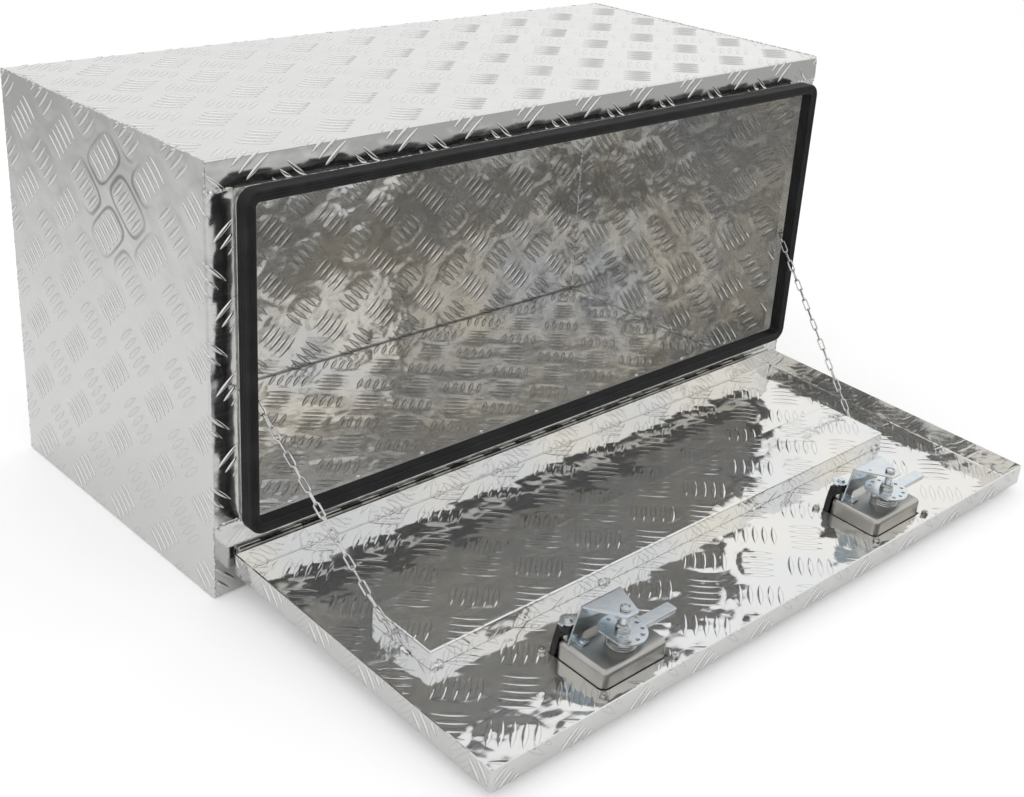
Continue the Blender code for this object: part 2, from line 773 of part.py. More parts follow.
def opened(place):
    """A point of the closed door's frame, in the box's frame with the door open."""
    turned = Matrix.Rotation(DOOR_OPEN_ANGLE, 3, "X") @ Vector(place)
    return turned + Vector((0.0, HINGE_Y, HINGE_HEIGHT))


def pin_with_neck(name, point, hand, wall_near, wall_far, parent):
    """A pin along X: a head each side, a shank through the wall, and a neck where the chain turns."""
    x_axis = Vector((hand, 0, 0))
    neck_in = point - x_axis * CHAIN_NECK_HALF
    neck_out = point + x_axis * CHAIN_NECK_HALF
    head_end = neck_in if abs(wall_far) > abs(point.x) else neck_out
    head_way = -x_axis if abs(wall_far) > abs(point.x) else x_axis
    shank_start = neck_out if abs(wall_far) > abs(point.x) else neck_in
    shank_end = Vector((wall_far, point.y, point.z))
    shank_way = (shank_end - shank_start).normalized()
    far_head = shank_end + shank_way * (SEAT_GAP + CHAIN_HEAD_THICKNESS)
    neck = rod(
        name,
        CHAIN_NECK_RADIUS,
        head_end + head_way * CHAIN_HEAD_THICKNESS / 2,
        shank_start + shank_way * CHAIN_HEAD_THICKNESS,
        parent,
        "chain_steel",
        SMALL_SIDES,
    )
    end_head = rod(
        f"{name}_end_head",
        CHAIN_HEAD_RADIUS,
        head_end,
        head_end + head_way * CHAIN_HEAD_THICKNESS,
        parent,
        sides=SMALL_SIDES,
    )
    shank = rod(
        f"{name}_shank", CHAIN_SHANK_RADIUS, shank_start, far_head, parent, sides=SMALL_SIDES
    )
    back_head = rod(
        f"{name}_back_head",
        CHAIN_HEAD_RADIUS,
        shank_end + shank_way * SEAT_GAP,
        far_head + shank_way * SEAT_GAP,
        parent,
        sides=SMALL_SIDES,
    )
    shoulder_start = Vector((wall_near, point.y, point.z)) - shank_way * SEAT_GAP
    shoulder = rod(
        f"{name}_shoulder",
        CHAIN_HEAD_RADIUS,
        shoulder_start - shank_way * CHAIN_HEAD_THICKNESS,
        shoulder_start,
        parent,
        sides=SMALL_SIDES,
    )
    return join(neck, end_head, shank, back_head, shoulder)


def link_points(start, along, flat, length):
    """A link's centre line: two straight sides and two half circles, in the plane of along and flat."""
    radius = (CHAIN_LINK_WIDTH - CHAIN_WIRE) / 2
    half = length / 2 - radius
    centre = start + along * length / 2
    points = []
    for end in (1, -1):
        for step in range(LINK_HALF_STEPS + 1):
            angle = math.pi * step / LINK_HALF_STEPS - math.pi / 2
            forward = math.cos(angle) * radius + half
            points.append(centre + along * end * forward + flat * end * math.sin(angle) * radius)
    return points


def chain_run(name, start, end, count, parent, spare):
    """Interlocked links from one point to another, each turned a quarter from the last.

    The first link's inner end bears on the pin at the start, and the last one stops short by
    the spare length.
    """
    along = (end - start).normalized()
    side = along.cross(Vector((1, 0, 0))).normalized()
    other = along.cross(side).normalized()
    pitch = (end - start).length / count
    centre_gap = CHAIN_WIRE - CHAIN_BITE
    first = None
    lead = CHAIN_NECK_RADIUS + SEAT_GAP + CHAIN_WIRE / 2
    for n in range(count):
        link_start = n * pitch - centre_gap / 2 if n else -lead
        link_end = (n + 1) * pitch + centre_gap / 2
        if n == count - 1:
            link_end = (n + 1) * pitch - spare
        flat = other if n % 2 else side
        points = link_points(start + along * link_start, along, flat, link_end - link_start)
        points = [point - start for point in points]
        bm = wire(points, CHAIN_WIRE / 2, True, 1)
        finish = "chain_steel" if first is None else None
        link = object_from(bm, name if first is None else f"{name}_link_{n}", parent, finish)
        if first is None:
            first = link
        else:
            join(first, link)
    return first


def chains(door_frame):
    """Each chain in two runs that meet at an open joint, so that it folds when the door shuts."""
    for side, hand in (("left", -1), ("right", 1)):
        stud, bolt_place = chain_stud_point(hand), chain_bolt_place(hand)
        bolt = opened(bolt_place)
        links = CHAIN_LINKS_UPPER + CHAIN_LINKS_LOWER
        meeting = stud.lerp(bolt, CHAIN_LINKS_UPPER / links)
        step = Vector((hand * CHAIN_SIDE_STEP, 0, 0))
        spare = CHAIN_WIRE / 2 + CHAIN_OPEN_GAP / 2
        upper_frame = frame_at(f"chain_upper_{side}_turn", stud)
        chain_run(
            f"chain_upper_{side}", stud, meeting + step, CHAIN_LINKS_UPPER, upper_frame, spare
        )
        lower_frame = frame_at(f"chain_lower_{side}_turn", bolt)
        chain_run(
            f"chain_lower_{side}", bolt, meeting - step, CHAIN_LINKS_LOWER, lower_frame, spare
        )
        pin_with_neck(
            f"chain_stud_{side}", stud, hand, hand * LIP_INNER_HALF, hand * LIP_OUTER_HALF, None
        )
        plate_x = STIFFENER_SHIFT + hand * STIFFENER_HALF
        pin_with_neck(
            f"chain_bolt_{side}", bolt_place, hand, plate_x, plate_x - hand * SHEET, door_frame
        )


def dish_solid(name, inset, low, top, frame, finish=None):
    """A solid of the dish's outline, straight up from low and rounded over at its top."""
    edge = DISH_EDGE - inset
    levels = [(inset, low)]
    for step in range(FOLD_STEPS + 1):
        angle = math.pi / 2 * step / FOLD_STEPS
        drawn_in, drop = edge * (1 - math.cos(angle)), edge * (1 - math.sin(angle))
        levels.append((inset + drawn_in, top - drop))
    bm = bmesh.new()
    rings = []
    for ring_inset, depth in levels:
        rings.append([bm.verts.new((x, depth, up)) for x, up in dish_outline(ring_inset)])
    for lower, upper in zip(rings, rings[1:]):
        ring_band(bm, lower, upper)
    bm.faces.new(rings[0])
    bm.faces.new(rings[-1])
    return object_from(bm, name, frame, finish)


def latch_dish(side, frame):
    """The pressed dish with its outer flange, holed for the shaft, the lock and the screws."""
    middle = (FLANGE_INNER + FLANGE_OUTER) / 2
    dish = dish_solid(f"latch_dish_{side}", 0.0, middle, DISH_TOP, frame, "dish_steel")
    edge = rectangle(FLANGE_WIDTH, FLANGE_HEIGHT, FLANGE_CORNER)
    join(dish, plate(f"flange_{side}", [edge], FLANGE_OUTER, FLANGE_INNER, "XZ", frame))
    hollow_low, hollow_top = FLANGE_OUTER - CUT_OVERRUN, DISH_TOP - DISH_SHEET
    cut(dish, dish_solid(f"dish_hollow_{side}", DISH_SHEET, hollow_low, hollow_top, frame))
    radius = SHAFT_RADIUS + SHAFT_RUN_GAP
    start, end = hollow_top - CUT_OVERRUN, DISH_TOP + CUT_OVERRUN
    cut(dish, post(f"dish_shaft_hole_{side}", radius, (0.0, SHAFT_UP), start, end, frame))
    start, end = hollow_low, FLANGE_INNER + CUT_OVERRUN
    for n, place in enumerate(screw_places()):
        radius = SCREW_RADIUS + SCREW_HOLE_GAP
        cut(dish, post(f"dish_screw_hole_{side}_{n}", radius, place, start, end, frame))
    radius = LOCK_PLUG_RADIUS + SHAFT_RUN_GAP
    cut(dish, post(f"dish_lock_hole_{side}", radius, (LOCK_X, LOCK_UP), start, end, frame))


def corner_screw(name, place, frame):
    """A pan-head screw through flange and door, with its washer and nut inside."""
    head_high = FLANGE_OUTER - SEAT_GAP
    head_low = head_high - SCREW_HEAD_THICKNESS
    washer_low = SEAT_GAP
    nut_low = washer_low + SCREW_WASHER_THICKNESS
    nut_high = nut_low + SCREW_NUT_THICKNESS
    start, end = (head_low + head_high) / 2, nut_high + SCREW_END
    screw = post(name, SCREW_RADIUS, place, start, end, frame, "hinge_steel")
    head = post(f"{name}_head", SCREW_HEAD_RADIUS, place, head_low, head_high, frame)
    end = nut_low + SEAT_GAP
    washer = post(f"{name}_washer", SCREW_WASHER_RADIUS, place, washer_low, end, frame)
    nut = plate(f"{name}_nut", [hexagon(SCREW_NUT_FLATS, place)], nut_low, nut_high, "XZ", frame)
    join(screw, head, washer, nut)


def lock(side, frame):
    """The black lock body in the dish's corner, and the key plug with its cam."""
    left = LOCK_X - LOCK_BLOCK_WIDTH / 2
    low = LOCK_UP - LOCK_BLOCK_HEIGHT / 2
    start = (left, FLANGE_INNER + SEAT_GAP, low)
    end = (left + LOCK_BLOCK_WIDTH, LOCK_BLOCK_DEPTH, low + LOCK_BLOCK_HEIGHT)
    body = block(f"lock_body_{side}", start, end, frame, "lock_black")
    add_bevel(body, LOCK_BLOCK_EDGE, FOLD_STEPS)
    place = (LOCK_X, LOCK_UP)
    start = LOCK_BLOCK_DEPTH - CUT_OVERRUN
    collar = post(
        f"lock_collar_{side}", LOCK_COLLAR_RADIUS, place, start, LOCK_COLLAR_TOP, frame,
        sides=ROUND_SIDES,
    )
    join(body, collar)
    start, end = FLANGE_INNER - CUT_OVERRUN, LOCK_COLLAR_TOP + CUT_OVERRUN
    radius = LOCK_PLUG_RADIUS + SHAFT_RUN_GAP
    cut(body, post(f"lock_bore_{side}", radius, place, start, end, frame))
    lock_plug(side, frame)


def lock_plug(side, latch_frame):
    """The turning plug, its keyway outside, and the cam with its screw inside."""
    frame = frame_at(f"lock_turn_{side}", (LOCK_X, 0.0, LOCK_UP), latch_frame)
    face = FLANGE_OUTER - LOCK_PLUG_PROUD
    top = LOCK_CAM_LOW - SEAT_GAP
    name = f"lock_plug_{side}"
    plug = post(name, LOCK_PLUG_RADIUS, (0.0, 0.0), face, top, frame, "zinc_plate")
    keyway = rectangle(LOCK_KEYWAY_WIDTH, LOCK_KEYWAY_LENGTH, 0.0)
    slot_low, slot_high = face - CUT_OVERRUN, face + LOCK_KEYWAY_DEPTH
    cut(plug, plate(f"keyway_{side}", [keyway], slot_low, slot_high, "XZ", frame))
    half = LOCK_CAM_TAB_WIDTH / 2
    cam_high = LOCK_CAM_LOW + LOCK_CAM_THICKNESS
    cam = plate(
        f"lock_cam_{side}", [circle(LOCK_CAM_RADIUS)], LOCK_CAM_LOW, cam_high, "XZ", frame,
        "zinc_plate",
    )
    tab = [(0.0, -half), (0.0, half), (-LOCK_CAM_TAB, half), (-LOCK_CAM_TAB, -half)]
    tab = plate(f"cam_tab_{side}", [filleted(tab, half / 2)], LOCK_CAM_LOW, cam_high, "XZ", frame)
    screw = plate(
        f"cam_screw_{side}", [hexagon(LOCK_CAM_SCREW_FLATS)], cam_high - SEAT_GAP,
        cam_high + LOCK_CAM_SCREW_THICKNESS, "XZ", frame,
    )
    join(cam, tab, screw)


def latch_bracket(side, frame):
    """The folded bracket on the dish: a wall with an arch, a nose over the shaft, and two feet."""
    foot = DISH_TOP + SEAT_GAP
    back = BRACKET_UP - BRACKET_SHEET
    corners = [
        (BRACKET_FOOT_LEFT, foot),
        (BRACKET_ARCH_LEFT, foot),
        (BRACKET_ARCH_LEFT, BRACKET_ARCH_TOP),
        (BRACKET_ARCH_RIGHT, BRACKET_ARCH_TOP),
        (BRACKET_ARCH_RIGHT, foot),
        (BRACKET_RIGHT, foot),
        (BRACKET_RIGHT, BRACKET_TOP),
        (BRACKET_TOP_LEFT, BRACKET_TOP),
    ]
    wall = plate(f"latch_bracket_{side}", [corners], back, BRACKET_UP, "XY", frame, "zinc_plate")
    nose_low = BRACKET_TOP - BRACKET_SHEET
    nose = [
        (BRACKET_TOP_LEFT, back),
        (BRACKET_RIGHT, back),
        (BRACKET_NOSE_HALF, BRACKET_NOSE_UP),
        (-BRACKET_NOSE_HALF, BRACKET_NOSE_UP),
    ]
    hole = circle(SHAFT_RADIUS + SHAFT_RUN_GAP, (0.0, SHAFT_UP), SMALL_SIDES)
    top = plate(
        f"bracket_nose_{side}", [filleted(nose, BRACKET_CORNER), hole], nose_low, BRACKET_TOP,
        "XZ", frame,
    )
    join(wall, top)
    for which, x in (("left", FOOT_TAB_LEFT_X), ("right", FOOT_TAB_RIGHT_X)):
        start = (x - FOOT_TAB_WIDTH / 2, foot, back)
        end = (x + FOOT_TAB_WIDTH / 2, foot + BRACKET_SHEET, BRACKET_UP + FOOT_TAB_LENGTH)
        join(wall, block(f"foot_{which}_{side}", start, end, frame))


def spring_points():
    """The spring's centre line, turn by turn up the shaft."""
    low = DISH_TOP + SEAT_GAP + SPRING_WIRE / 2
    high = BLADE_LOW - SPRING_TOP_CLEARANCE - SPRING_WIRE / 2
    count = round(SPRING_TURNS * SPRING_POINTS_PER_TURN)
    points = []
    for n in range(count + 1):
        angle = math.tau * n / SPRING_POINTS_PER_TURN
        height = low + (high - low) * n / count
        across, up = SPRING_RADIUS * math.cos(angle), SPRING_RADIUS * math.sin(angle)
        points.append(Vector((across, height, SHAFT_UP + up)))
    return points


def latch_spring(side, frame):
    """The spring under the blade, whose turns keep clear of each other."""
    points = spring_points()
    turn = SPRING_POINTS_PER_TURN
    nearest = min((points[n + turn] - points[n]).length for n in range(len(points) - turn))
    gap = nearest - SPRING_WIRE
    print(f"latch_spring_{side}: least gap between turns {gap * 1000:.2f} mm")
    if gap < LEAST_SPRING_GAP:
        print(f"latch_spring_{side}: the turns are closer than they may be")
    bm = wire(points, SPRING_WIRE / 2, False, 1)
    object_from(bm, f"latch_spring_{side}", frame, "spring_steel")


def latch_shaft(side, frame):
    """The shaft through dish and bracket, flattened at its outer end for the handle's pivot."""
    fork_sweep = math.hypot(HANDLE_THICKNESS, HANDLE_THICKNESS) / 2
    name, low = f"latch_shaft_{side}", PIVOT_HEIGHT + fork_sweep + SHAFT_RUN_GAP
    shaft = post(name, SHAFT_RADIUS, (0.0, 0.0), low, SHAFT_TOP, frame, "zinc_plate")
    start = (-TANG_HALF_WIDTH, TANG_END, -TANG_HALF_HEIGHT)
    end = (TANG_HALF_WIDTH, DISH_TOP - DISH_SHEET - 2 * SHAFT_RUN_GAP, TANG_HALF_HEIGHT)
    join(shaft, block(f"tang_{side}", start, end, frame))
    reach = TANG_HALF_WIDTH + CUT_OVERRUN
    hole = rod(
        f"pivot_hole_{side}", PIVOT_RADIUS + SHAFT_RUN_GAP, (-reach, PIVOT_HEIGHT, 0),
        (reach, PIVOT_HEIGHT, 0), frame, sides=SMALL_SIDES,
    )
    cut(shaft, hole)


def latch_disc(side, frame):
    """The round cam plate with a ring of holes, flat on one side."""
    points = []
    for across, up in circle(DISC_RADIUS, sides=2 * ROUND_SIDES):
        points.append((max(across, -DISC_FLAT_SHARE * DISC_RADIUS), up))
    holes = [circle(SHAFT_RADIUS + SEAT_GAP, sides=SMALL_SIDES)]
    for centre in circle(DISC_HOLE_RING, sides=DISC_HOLE_COUNT):
        if centre[0] > -DISC_FLAT_SHARE * DISC_RADIUS + 2 * DISC_HOLE_RADIUS:
            holes.append(circle(DISC_HOLE_RADIUS, centre, SMALL_SIDES))
    plate(f"latch_disc_{side}", [points, *holes], DISC_LOW, DISC_HIGH, "XZ", frame, "zinc_plate")


def latch_blade(side, frame):
    """The tongue: a flat end round the shaft that becomes a channel towards its tip."""
    half = BLADE_WIDTH / 2
    corners = [(-BLADE_TAIL, -half), (BLADE_REACH, -half), (BLADE_REACH, half), (-BLADE_TAIL, half)]
    hole = circle(SHAFT_RADIUS + SEAT_GAP, sides=SMALL_SIDES)
    web_low = BLADE_HIGH - BLADE_SHEET
    outlines = [filleted(corners, BLADE_SHEET), hole]
    web = plate(f"latch_blade_{side}", outlines, web_low, BLADE_HIGH, "XZ", frame, "zinc_plate")
    for which, way in (("near", -1), ("far", 1)):
        edge = sorted((way * (half - SEAT_GAP), way * (half - BLADE_SHEET)))
        start = (BLADE_FLANGE_START, BLADE_LOW, edge[0])
        end = (BLADE_REACH - BLADE_SHEET, BLADE_HIGH - BLADE_SHEET / 2, edge[1])
        join(web, block(f"blade_flange_{which}_{side}", start, end, frame))


def shaft_nuts(side, frame):
    """The washer and the two nuts locked together over the cam plate, and the nut on the bracket."""
    first_low = NUTS_LOW + WASHER_THICKNESS
    second_low = first_low + NUT_THICKNESS
    hole = circle(SHAFT_RADIUS + SEAT_GAP, sides=SMALL_SIDES)
    washer = plate(
        f"latch_nuts_{side}", [circle(WASHER_RADIUS), hole], NUTS_LOW, first_low, "XZ", frame,
        "zinc_plate",
    )
    first = plate(
        f"nut_low_{side}", [hexagon(NUT_FLATS), hole], first_low - SEAT_GAP, second_low, "XZ",
        frame,
    )
    second = plate(
        f"nut_high_{side}", [hexagon(NUT_FLATS, turn=HALF_FLAT_ANGLE), hole],
        second_low - SEAT_GAP, second_low + NUT_THICKNESS, "XZ", frame,
    )
    join(washer, first, second)
    top = [hexagon(TOP_NUT_FLATS), hole]
    plate(
        f"shaft_top_nut_{side}", top, TOP_NUT_LOW, TOP_NUT_LOW + TOP_NUT_THICKNESS, "XZ", frame,
        "zinc_plate",
    )


def t_handle(side, shaft_frame):
    """The T-handle, folded flat in the dish, forked round the shaft's end and pinned to it."""
    frame = frame_at(f"handle_fold_{side}", (0.0, PIVOT_HEIGHT, 0.0), shaft_frame)
    stem, bar = HANDLE_STEM_WIDTH / 2, HANDLE_BAR_LENGTH / 2
    inner = TANG_HALF_WIDTH + SEAT_GAP
    tip = -HANDLE_REACH
    bar_in = tip + HANDLE_BAR_WIDTH
    end = HANDLE_THICKNESS / 2
    corners = [
        (-bar, tip),
        (bar, tip),
        (bar, bar_in),
        (stem, bar_in),
        (stem, end),
        (-stem, end),
        (-stem, bar_in),
        (-bar, bar_in),
    ]
    half = HANDLE_THICKNESS / 2
    handle = plate(
        f"t_handle_{side}", [filleted(corners, HANDLE_CORNER)], -half, half, "XZ", frame,
        "zinc_plate",
    )
    add_bevel(handle, HANDLE_EDGE, FOLD_STEPS, OUTLINE_ANGLE)
    fork = block(
        f"fork_{side}", (-inner, -HANDLE_THICKNESS, -HANDLE_CROTCH),
        (inner, HANDLE_THICKNESS, HANDLE_THICKNESS), frame,
    )
    reach = stem + CUT_OVERRUN
    bore_radius = PIVOT_RADIUS + SEAT_GAP
    bore = rod(
        f"handle_bore_{side}", bore_radius, (-reach, 0, 0), (reach, 0, 0), frame,
        sides=SMALL_SIDES,
    )
    cut(handle, fork, bore)
    rod(
        f"handle_pin_{side}", PIVOT_RADIUS, (-stem, 0, 0), (stem, 0, 0), frame, "zinc_plate",
        SMALL_SIDES,
    )


def latch(side, hand, door_frame):
    """A whole latch: the fixed pieces on the door, and what turns with its shaft."""
    place = (hand * LATCH_X, PANEL_INNER, LATCH_UP)
    frame = frame_at(f"latch_{side}", place, door_frame)
    latch_dish(side, frame)
    for n, spot in enumerate(screw_places()):
        corner_screw(f"latch_screw_{side}_{n + 1}", spot, frame)
    lock(side, frame)
    latch_bracket(side, frame)
    latch_spring(side, frame)
    turning = frame_at(f"latch_turn_{side}", (0.0, 0.0, SHAFT_UP), frame)
    latch_shaft(side, turning)
    latch_disc(side, turning)
    latch_blade(side, turning)
    shaft_nuts(side, turning)
    t_handle(side, turning)


def build():
    clear_scene()
    body_wrap()
    side_panel("left", -1)
    side_panel("right", 1)
    opening_lip()
    door_seal()
    door_frame = frame_at(
        "door_on_hinge", (0.0, HINGE_Y, HINGE_HEIGHT), turn_x=DOOR_OPEN_ANGLE
    )
    hinge(door_frame)
    door_pan(door_frame)
    door_stiffener(door_frame)
    chains(door_frame)
    latch("left", -1, door_frame)
    latch("right", 1, door_frame)


build()
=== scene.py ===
"""Looks of a drop-door tool box: folded tread plate, rubber seal, chains and latches."""

import json
import math

import bmesh
import bpy
import numpy as np
from bpy.props import FloatProperty, FloatVectorProperty, IntProperty, PointerProperty
from mathutils import Matrix, Vector


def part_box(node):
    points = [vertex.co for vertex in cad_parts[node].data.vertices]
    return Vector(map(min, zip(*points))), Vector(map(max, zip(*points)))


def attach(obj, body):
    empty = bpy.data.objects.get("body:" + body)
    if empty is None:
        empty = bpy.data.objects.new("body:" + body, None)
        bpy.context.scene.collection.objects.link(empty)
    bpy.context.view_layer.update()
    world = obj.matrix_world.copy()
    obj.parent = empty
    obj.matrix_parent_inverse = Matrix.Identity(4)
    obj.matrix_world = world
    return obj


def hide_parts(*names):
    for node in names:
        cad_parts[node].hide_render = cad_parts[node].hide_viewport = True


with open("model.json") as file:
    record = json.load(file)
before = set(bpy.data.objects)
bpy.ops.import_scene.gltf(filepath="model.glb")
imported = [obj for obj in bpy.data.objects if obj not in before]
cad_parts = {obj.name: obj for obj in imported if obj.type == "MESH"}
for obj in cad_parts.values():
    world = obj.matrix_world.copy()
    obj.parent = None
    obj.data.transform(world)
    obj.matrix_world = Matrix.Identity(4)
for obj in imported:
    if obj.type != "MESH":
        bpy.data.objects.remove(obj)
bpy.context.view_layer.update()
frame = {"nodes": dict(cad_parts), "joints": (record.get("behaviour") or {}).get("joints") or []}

bl_info = {
    "name": "Drop-door tool box looks",
    "version": (1, 0, 0),
    "blender": (4, 5, 0),
    "location": "View3D > Sidebar > Tool box",
    "description": "Dresses the tool box's frame with sheets, tread bars, seal, chains and latches",
    "category": "Object",
}

JOINTS = {joint["name"]: joint for joint in frame["joints"]}
PIN = np.array(JOINTS["door_hinge"]["pos_m"])
OPEN_ANGLE = -math.radians(JOINTS["door_hinge"]["range_deg"][0])
SIDES = (("left", -1), ("right", 1))
QUARTER = math.pi / 2
MERGE = 1e-6
SEAT_GAP = 0.0003
SHARP_DEGREES = 35.0
BAR_SHARP_DEGREES = 70.0
EDGE_CLEARANCE = 0.012
FLANGE_CLEARANCE = 0.016
GRAIN_DEPTH = 0.00002


def length(name, default, description):
    """A size in metres that the sidebar shows."""
    return FloatProperty(
        name=name, description=description, default=default, min=0.0, precision=5, unit="LENGTH"
    )


def number(name, default, description):
    """A plain number."""
    return FloatProperty(name=name, description=description, default=default, min=0.0)


def count(name, default, description):
    """A whole number of at least one."""
    return IntProperty(name=name, description=description, default=default, min=1)


def colour(name, default, description):
    """A linear colour."""
    return FloatVectorProperty(
        name=name, description=description, default=default, size=3, min=0.0, max=1.0,
        subtype="COLOR",
    )


class TreadSettings(bpy.types.PropertyGroup):
    """The five-bar pattern, as the sheet is rolled."""

    pitch_long: length("Long pitch", 0.0878, "Spacing of like groups along the pattern's long way")
    pitch_short: length("Short pitch", 0.0772, "Spacing of like groups the other way")
    bar_length: length("Bar length", 0.037, "Length of one bar")
    bar_width: length("Bar width", 0.0050, "Width of one bar at its middle")
    bar_height: length("Bar height", 0.0010, "How far a bar stands up")
    bar_spacing: length("Bar spacing", 0.0108, "Spacing of the bars in a group")
    top_row: length("First row on top", 0.0402, "From the front edge to the first row of groups")
    top_column: length("First column", 0.0848, "From the left edge to the first group on top")
    side_column: length("Side column", 0.0089, "From the front edge to the first group on a side")
    side_row: length("Side row", 0.0272, "Height of the lowest group on a side")


class SheetSettings(bpy.types.PropertyGroup):
    """The folded sheets."""

    thickness: length("Sheet", 0.0016, "Thickness of the plate")
    fold_radius: length("Fold radius", 0.003, "Outer radius of the folds")
    grid_step: length("Grid step", 0.02, "Largest face of a flat stretch")
    header_height: length("Header", 0.0305, "Height of the header flange")
    sill_height: length("Sill", 0.082, "Height of the sill flange at the box's ends")
    stile_width: length("Stile", 0.030, "Width of the front stiles")
    stiffener_radius: length("Stiffener fold", 0.0022, "Outer radius of the stiffener's folds")
    stile_slope: number("Stile slope", 0.09, "How far the welds draw the stiles in")
    bead_radius: length("Weld bead", 0.0015, "Radius of the corner welds")


class SealSettings(bpy.types.PropertyGroup):
    """The rubber seal and the lip that carries it."""

    opening_radius: length("Opening corner", 0.0115, "Radius of the opening's corners")
    rib_depth: length("Rib depth", 0.0009, "Depth of the grooves between the ribs")
    chamfer: length("Front rounding", 0.0022, "Rounding of the seal's front edges")
    side_ribs: count("Side ribs", 5, "Ribs on each side of the seal")
    front_ribs: count("Front ribs", 3, "Ribs on the seal's front")


class ChainSettings(bpy.types.PropertyGroup):
    """The stay chains."""

    wire: length("Wire", 0.0020, "Diameter of the link wire")
    link_width: length("Link width", 0.0074, "Outer width of a link")
    upper_links: count("Upper links", 9, "Links that turn with the stud")
    lower_links: count("Lower links", 10, "Links that turn with the door")


class LatchSettings(bpy.types.PropertyGroup):
    """The latch: sizes that the frame's boxes don't give."""

    dish_sheet: length("Dish sheet", 0.0012, "Thickness of the pressed dish")
    dish_corner: length("Dish corner", 0.0075, "Radius of the dish's corners")
    dish_edge: length("Dish edge", 0.0055, "Rounding of the dish's top edge")
    flange_corner: length("Flange corner", 0.007, "Radius of the outer flange's corners")
    lock_foot: length("Lock foot", 0.0075, "Height of the lock's foot beside the dish")
    lock_edge: length("Lock edge", 0.0016, "Rounding of the lock body")
    lock_collar: length("Lock collar", 0.0082, "Radius of the lock's round collar")
    bracket_sheet: length("Bracket sheet", 0.0018, "Thickness of the bracket and its feet")
    blade_sheet: length("Blade sheet", 0.0015, "Thickness of the blade")
    disc_hole: length("Disc hole", 0.002, "Radius of the holes in the round plate")
    disc_ring: length("Hole ring", 0.019, "Radius of the ring of holes")
    disc_holes: count("Disc holes", 12, "Holes round the plate")
    spring_wire: length("Spring wire", 0.0018, "Diameter of the spring wire")
    spring_turns: number("Spring turns", 2.5, "Turns of the spring")
    shaft_radius: length("Shaft radius", 0.004, "Radius of the latch shaft")
    thread_pitch: length("Thread pitch", 0.00125, "Pitch of the threads")
    nut_flats: length("Nut flats", 0.013, "Width across the shaft nuts' flats")
    top_nut_flats: length("Top nut flats", 0.010, "Width across the top nut's flats")
    grip_width: length("Grip", 0.011, "Width of the T-handle's cross bar")


class FinishSettings(bpy.types.PropertyGroup):
    """Colours of the finishes."""

    plate_outside: colour("Plate outside", (0.77, 0.77, 0.762), "Bright rolled aluminium")
    plate_inside: colour("Plate inside", (0.87, 0.86, 0.84), "Duller inner side of the sheet")
    door_inside: colour("Door inside", (0.84, 0.835, 0.82), "Mirror-bright inner side of the door")
    smooth_sheet: colour("Smooth sheet", (0.92, 0.92, 0.91), "The opening's lip")
    # painted shade: this grey darkens the outer sheet round the tread bars, standing for the shade
    # at the bars' sides; it also colours real scuffs and a stain
    shade_and_grime: colour("Rolling dirt", (0.30, 0.31, 0.32), "Grey film round the tread bars")
    # painted shade: this grey paints shade lines round the bars' imprints and along the inner
    # corners of the folds on the inside
    crease_shade: colour("Crease dirt", (0.34, 0.34, 0.33), "Grey lines on the inner side")
    rubber: colour("Rubber", (0.012, 0.012, 0.013), "Seal rubber")
    dish: colour("Dish", (0.53, 0.52, 0.495), "Satin stainless steel")
    zinc: colour("Zinc", (0.66, 0.73, 0.78), "Bluish zinc plating")
    bright_steel: colour("Bright steel", (0.62, 0.62, 0.60), "Nickel-bright steel")
    chain_wire: colour("Chain", (0.68, 0.68, 0.67), "Polished link wire")
    spring_wire: colour("Spring", (0.62, 0.62, 0.61), "Bare spring wire")
    weld: colour("Weld", (0.88, 0.88, 0.87), "Weld metal")
    lock_black: colour("Lock black", (0.010, 0.010, 0.011), "Painted lock body")


class StudioSettings(bpy.types.PropertyGroup):
    """Floor, light and camera."""

    floor: colour("Floor", (0.94, 0.94, 0.94), "Pale floor")
    floor_far: colour("Far floor", (0.50, 0.50, 0.49), "The floor away from the box")
    floor_drop: length("Floor drop", 0.0015, "How far the bars under the box hold it up")
    room: colour("Room", (0.48, 0.45, 0.41), "The front of the room")
    backdrop: number("Backdrop", 0.90, "Lightness behind the box")
    ceiling: colour("Ceiling", (0.72, 0.72, 0.72), "The room overhead")
    world: number("World strength", 1.0, "Light of the surround")
    key: number("Key power", 4.0, "Overhead softbox in watts")


GROUPS = {
    "tread": TreadSettings,
    "sheet": SheetSettings,
    "seal": SealSettings,
    "chain": ChainSettings,
    "latch": LatchSettings,
    "finish": FinishSettings,
    "studio": StudioSettings,
}


def settings(group):
    """One group of the sizes and colours that the sidebar shows."""
    return getattr(bpy.context.scene, f"box_{group}")


# Places that the frame gives


def node_points(node):
    """A CAD node's vertices, in metres."""
    mesh = frame["nodes"][node].data
    flat = np.empty(len(mesh.vertices) * 3, np.float32)
    mesh.vertices.foreach_get("co", flat)
    return flat.reshape(-1, 3).astype(float)


def door_to_world(points):
    """Closed-door coordinates on the hinge pin, turned open about X and moved to the pin."""
    x, y, z = points.T
    cos, sin = math.cos(OPEN_ANGLE), math.sin(OPEN_ANGLE)
    return np.stack([x, PIN[1] + y * cos - z * sin, PIN[2] + y * sin + z * cos], axis=1)


def world_to_door(points):
    """The inverse: moved from the pin and turned shut."""
    x, y, z = (points - [0.0, PIN[1], PIN[2]]).T
    cos, sin = math.cos(OPEN_ANGLE), math.sin(OPEN_ANGLE)
    return np.stack([x, y * cos + z * sin, z * cos - y * sin], axis=1)


def door_way(y):
    """The world's direction of the closed door's Y axis, forwards or back."""
    ends = door_to_world(np.array([[0.0, 0.0, 0.0], [0.0, y, 0.0]]))
    return ends[1] - ends[0]


def door_box(node):
    """A node's lowest and highest corner in closed-door coordinates."""
    points = world_to_door(node_points(node))
    return points.min(axis=0), points.max(axis=0)


def world_box(node):
    """A node's lowest and highest corner as arrays."""
    return tuple(np.array(corner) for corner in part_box(node))


